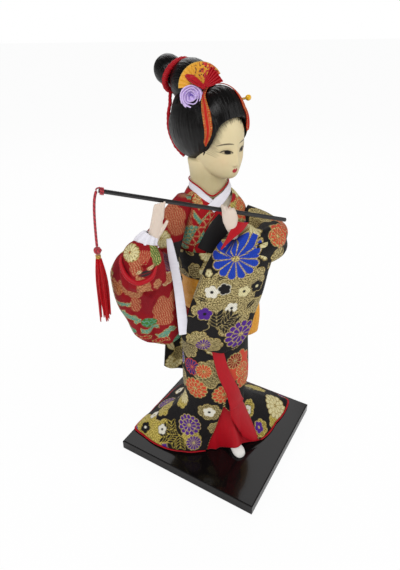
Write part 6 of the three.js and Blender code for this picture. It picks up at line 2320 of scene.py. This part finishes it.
class DOLL_OT_ornaments(bpy.types.Operator):
    """Makes the red bands, the fan, the bow, the pleated end, the rosette and the pin in the hair
    """

    bl_idname = "doll.ornaments"
    bl_label = "Hair ornaments"

    def execute(self, context):
        self.bands()
        self.crown_ribbon()
        self.fan()
        self.bows()
        self.rosette()
        stick = tube(smooth_line([[13, 0, 25], [21.5, -3.4, 26.2]], 20), 0.7, 12)
        on_head("hairpin_stick", stick, "Thread_gold", "gold", "hairpin", wrap=True, caps=True)
        a, b = spread(circle(32), np.linspace(-1.55, 1.55, 24))
        bead = 1.9 * np.stack([np.cos(b) * np.cos(a), np.cos(b) * np.sin(a), np.sin(b)],
                              -1) + [22.4, -3.6, 26.3]
        on_head("hairpin_bead", bead, "Acrylic_yellow", "gold", wrap=True, caps=True)
        return {"FINISHED"}

    def bands(self):
        """The gathered band round the bun, and a cord down each side: rings whose width puckers."""
        a = np.linspace(0, 2 * np.pi, 420)
        tilt = np.pi / 2 + 0.42
        flat = np.stack([10.6 * np.cos(a), 10.6 * np.sin(a), 0 * a], -1)
        c, s = np.cos(tilt), np.sin(tilt)
        ring = np.stack([flat[:, 0], c * flat[:, 1] - s * flat[:, 2],
                         s * flat[:, 1] + c * flat[:, 2]], -1)
        pucker = 1.9 + 0.16 * np.sin(62 * a) + 0.12 * np.sin(23 * a + 1)
        grid = tube(ring + [0, 38.6, 35.6], pucker, 18)[:-1]
        loop = np.concatenate([grid, grid[:1]])
        on_head("bun_band", loop, "Satin_red", "red", "bun_ribbon", wrap=True)
        for side, name in ((1, "right"), (-1, "left")):
            route = smooth_line(np.array(HAIR_CORD) * [side, 1, 1], 130)
            t = np.linspace(0, 1, 130)
            wide = 1.15 + 0.1 * np.sin(95 * t) + 0.06 * np.sin(41 * t)
            on_head("hair_band_" + name, tube(route, wide, 14), "Satin_red", "red",
                    "hair_cord_" + name,
                    wrap=True, caps=True)

    def crown_ribbon(self):
        """The gold-edged ribbon over the crown: rays in its own plane meet the rolls of hair."""
        rows, columns = 26, 420
        square = np.array([0, np.cos(RIBBON_TILT), np.sin(RIBBON_TILT)])
        upward = np.array([0, -np.sin(RIBBON_TILT), np.cos(RIBBON_TILT)])
        turn = np.radians(np.linspace(-RIBBON_END, RIBBON_END, columns))
        away = np.linspace(-RIBBON_HALF, RIBBON_HALF, rows)[:, None]
        part = np.abs(np.degrees(turn)) / RIBBON_END
        course = between(RIBBON_COURSE, np.degrees(turn))[..., 0]
        narrow = 0.88 - 0.34 * bell(part, 0.3) - 0.7 * ease((part - 0.92) / 0.08)
        start = np.array([0, -12.5, 6]) + 7 * upward + square * (away * narrow + course)[..., None]
        way = upward * np.cos(turn)[:, None] + np.array([1.0, 0, 0]) * np.sin(turn)[:, None]
        way = np.broadcast_to(way[None], (rows, columns, 3))
        start = np.broadcast_to(start, (rows, columns, 3))
        reach = hair_reach(start, way)
        points = start + way * (reach + 0.75 - 0.1 * (away / RIBBON_HALF) ** 2)[..., None]
        ink = ground(points, "ribbon")
        middle = points[rows // 2]
        length = np.cumsum(np.linalg.norm(np.diff(middle, axis=0, prepend=middle[:1]), axis=-1))
        bead = (np.abs(np.abs(away) - 1.75) < 0.3) & (np.floor(length / 0.75) % 2 == 0)[None]
        lay(ink, 0.9 * bead.astype(float), "yellow_gold")
        lay(ink, 0.5 * inside(np.abs(np.abs(away) - 0.9) - 0.12, 0.2) * np.ones((1, columns)),
            "gold_line")
        on_head("crown_ribbon", points, "Brocade_kinran", "red", "front_ribbon", ink=ink,
                thick=0.4, flip=True)

    def fan(self):
        """The folded fan: a sector whose leaf rises and falls in 13 pleats, with red and dark
        leaves on gold.
        """
        r, a = np.meshgrid(np.linspace(1.2, FAN_RADIUS, 50),
                           np.radians(np.linspace(*FAN_SIDES, 190)), indexing="ij")
        fold = np.abs((a / np.radians((FAN_SIDES[1] - FAN_SIDES[0]) / FAN_PLEATS)) % 1
                      - 0.5) * 2 - 0.5
        flat = np.stack([r * np.cos(a), r * np.sin(a), 0.55 + 0.35 * fold * r / FAN_RADIUS], -1)
        ink = ground(flat, "fan")
        x, y = flat[..., 0], flat[..., 1]
        share = ease((x + 5) / 7)
        spots = noise(x * 1.15 + 40, y * 1.15, 5)
        lay(ink, inside(0.66 - 0.12 * share - spots, 0.05) * (r > 4) * share, "ribbon")
        dark = noise(x * 1.5 + 7, y * 1.5 + 3, 9)
        lay(ink, inside(0.74 - dark, 0.04) * (r > 6) * (r < 13) * ease((x + 8) / 3), "brown")
        lay(ink, (r > 13.2) * 0.8, "gold_line")
        on_head("fan_leaf", in_fan(flat), "Gilt_paper", "gold", "fan_comb", ink=ink, thick=0.35,
                flip=True)

    def bows(self):
        """The bow's puffed loop and the pleated end: creased limbs of satin tied at the fan's
        rivet.
        """

        def crease(a, t):
            return 0.45 * np.sin(3 * a + 3 * t) * np.sin(np.pi * t) + 0.2 * np.sin(7 * a - 4 * t)

        loop = [[-8.6, 5.2, 2.8, 1.0, 0.5], [-7.8, 4.8, 3.2, 2.4, 1.2], [-4.6, 3.8, 4.2, 3.2, 2.1],
                [-1.2, 2.0, 4.0, 2.2, 1.7], [1.4, 0.6, 3.6, 1.3, 1.2], [2.6, 0, 3.3, 1.7, 1.4],
                [3.6, -0.3, 3.0, 1, 0.6]]
        grid = rings(loop, 96, 110, [0, 0, 1], ruffle=crease)
        on_head("bow_loop", in_fan(grid), "Satin_red", "red", "bow_ribbon", wrap=True, caps=True)
        t, w = np.meshgrid(np.linspace(0, 1, 60), np.linspace(-1, 1, 120), indexing="ij")
        wide = 1.3 + 4.1 * t**0.8
        lift = 2.9 - 0.6 * t + (0.25 + 0.55 * t) * (np.abs((3 * w) % 1 - 0.5) * 4 - 1)
        axis = np.array([6.8, 6.8])
        u = axis / np.hypot(*axis)
        x = 3.2 + 9.2 * t * u[0] - wide * w * u[1]
        y = 0.6 + 9.2 * t * u[1] + wide * w * u[0] + 0.5 * (1 - w * w) * t
        on_head("pleated_end", in_fan(np.stack([x, y, lift], -1)), "Satin_red", "red",
                "pleated_ribbon",
                thick=0.4)

    def rosette(self):
        """The lilac rosette: a ribbon on edge wound in a spiral of 3.6 turns, r = 0.5 + 5.6 t^0.85.
        """
        face = unit(np.array([-0.8, -0.52, 0.3]))
        right = unit(np.cross([0, 0, 1.0], face))
        axes = np.array([right, np.cross(face, right), face])
        v, t = np.meshgrid(np.linspace(0, 1, 18), np.linspace(0, 1, 520), indexing="ij")
        turn = 2 * np.pi * 3.6 * t
        r = 0.5 + 5.6 * t**0.85 + v * (0.9 + 0.2 * np.sin(3.3 * turn)) + 0.08 * np.sin(5 * turn)
        high = -1.6 + (3.9 - 1.7 * t) * v - 0.8 * v**4
        flat = np.stack([r * np.cos(turn), r * np.sin(turn), high], -1)
        ink = ground(flat, "lilac")
        lay(ink, ease((0.16 - t) / 0.1), "violet")
        # Painted shade: the ribbon's lower half, deep between the turns, is darkened towards violet
        lay(ink, 0.45 * ease((0.5 - v) / 0.5), "violet")
        at = np.array([-16.4, 6, 29.6])
        on_head("rosette_ribbon", flat @ axes + at, "Ribbon_lilac", "lilac", "ribbon_rosette",
                ink=ink, thick=0.45)
        r, a = np.meshgrid(np.linspace(0.05, 6.9, 20), circle(60), indexing="ij")
        base = np.stack([r * np.cos(a), r * np.sin(a), -1.4 - 0.05 * r], -1)
        on_head("rosette_base", base @ axes + at, "Ribbon_lilac", "lilac",
                ink=ground(base, "lilac"), wrap=True,
                thick=0.5)


class DOLL_PT_panel(bpy.types.Panel):
    """Lists the doll's operators in the sidebar"""

    bl_idname = "DOLL_PT_panel"
    bl_label = "Geisha doll"
    bl_space_type = "VIEW_3D"
    bl_region_type = "UI"
    bl_category = "Doll"

    def draw(self, context):
        for name in ("fold_depth", "cord_diameter", "strand_count", "hairline_count"):
            self.layout.prop(context.scene.doll_sizes, name)
        for name in ("floor_colour", "lens", "lamp_power"):
            self.layout.prop(context.scene.doll_stage, name)
        for operator in STEPS:
            self.layout.operator(operator.bl_idname)


STEPS = (
    DOLL_OT_materials,
    DOLL_OT_stage,
    DOLL_OT_tassel,
    DOLL_OT_stand,
    DOLL_OT_skirt,
    DOLL_OT_bodice,
    DOLL_OT_obi,
    DOLL_OT_sleeves,
    DOLL_OT_hands,
    DOLL_OT_head,
    DOLL_OT_hair,
    DOLL_OT_ornaments,
)


def register():
    """Registers the sizes, the operators and the panel."""
    for kind in (DollSizes, DollStage, *STEPS, DOLL_PT_panel):
        bpy.utils.register_class(kind)
    bpy.types.Scene.doll_sizes = bpy.props.PointerProperty(type=DollSizes)
    bpy.types.Scene.doll_stage = bpy.props.PointerProperty(type=DollStage)


def unregister():
    """Takes back what register did."""
    del bpy.types.Scene.doll_sizes, bpy.types.Scene.doll_stage
    for kind in (DOLL_PT_panel, *reversed(STEPS), DollStage, DollSizes):
        bpy.utils.unregister_class(kind)


def main():
    """Registers the add-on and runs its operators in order."""
    register()
    for step in STEPS:
        getattr(bpy.ops.doll, step.bl_idname.split(".")[1])()


if __name__ == "__main__":
    main()
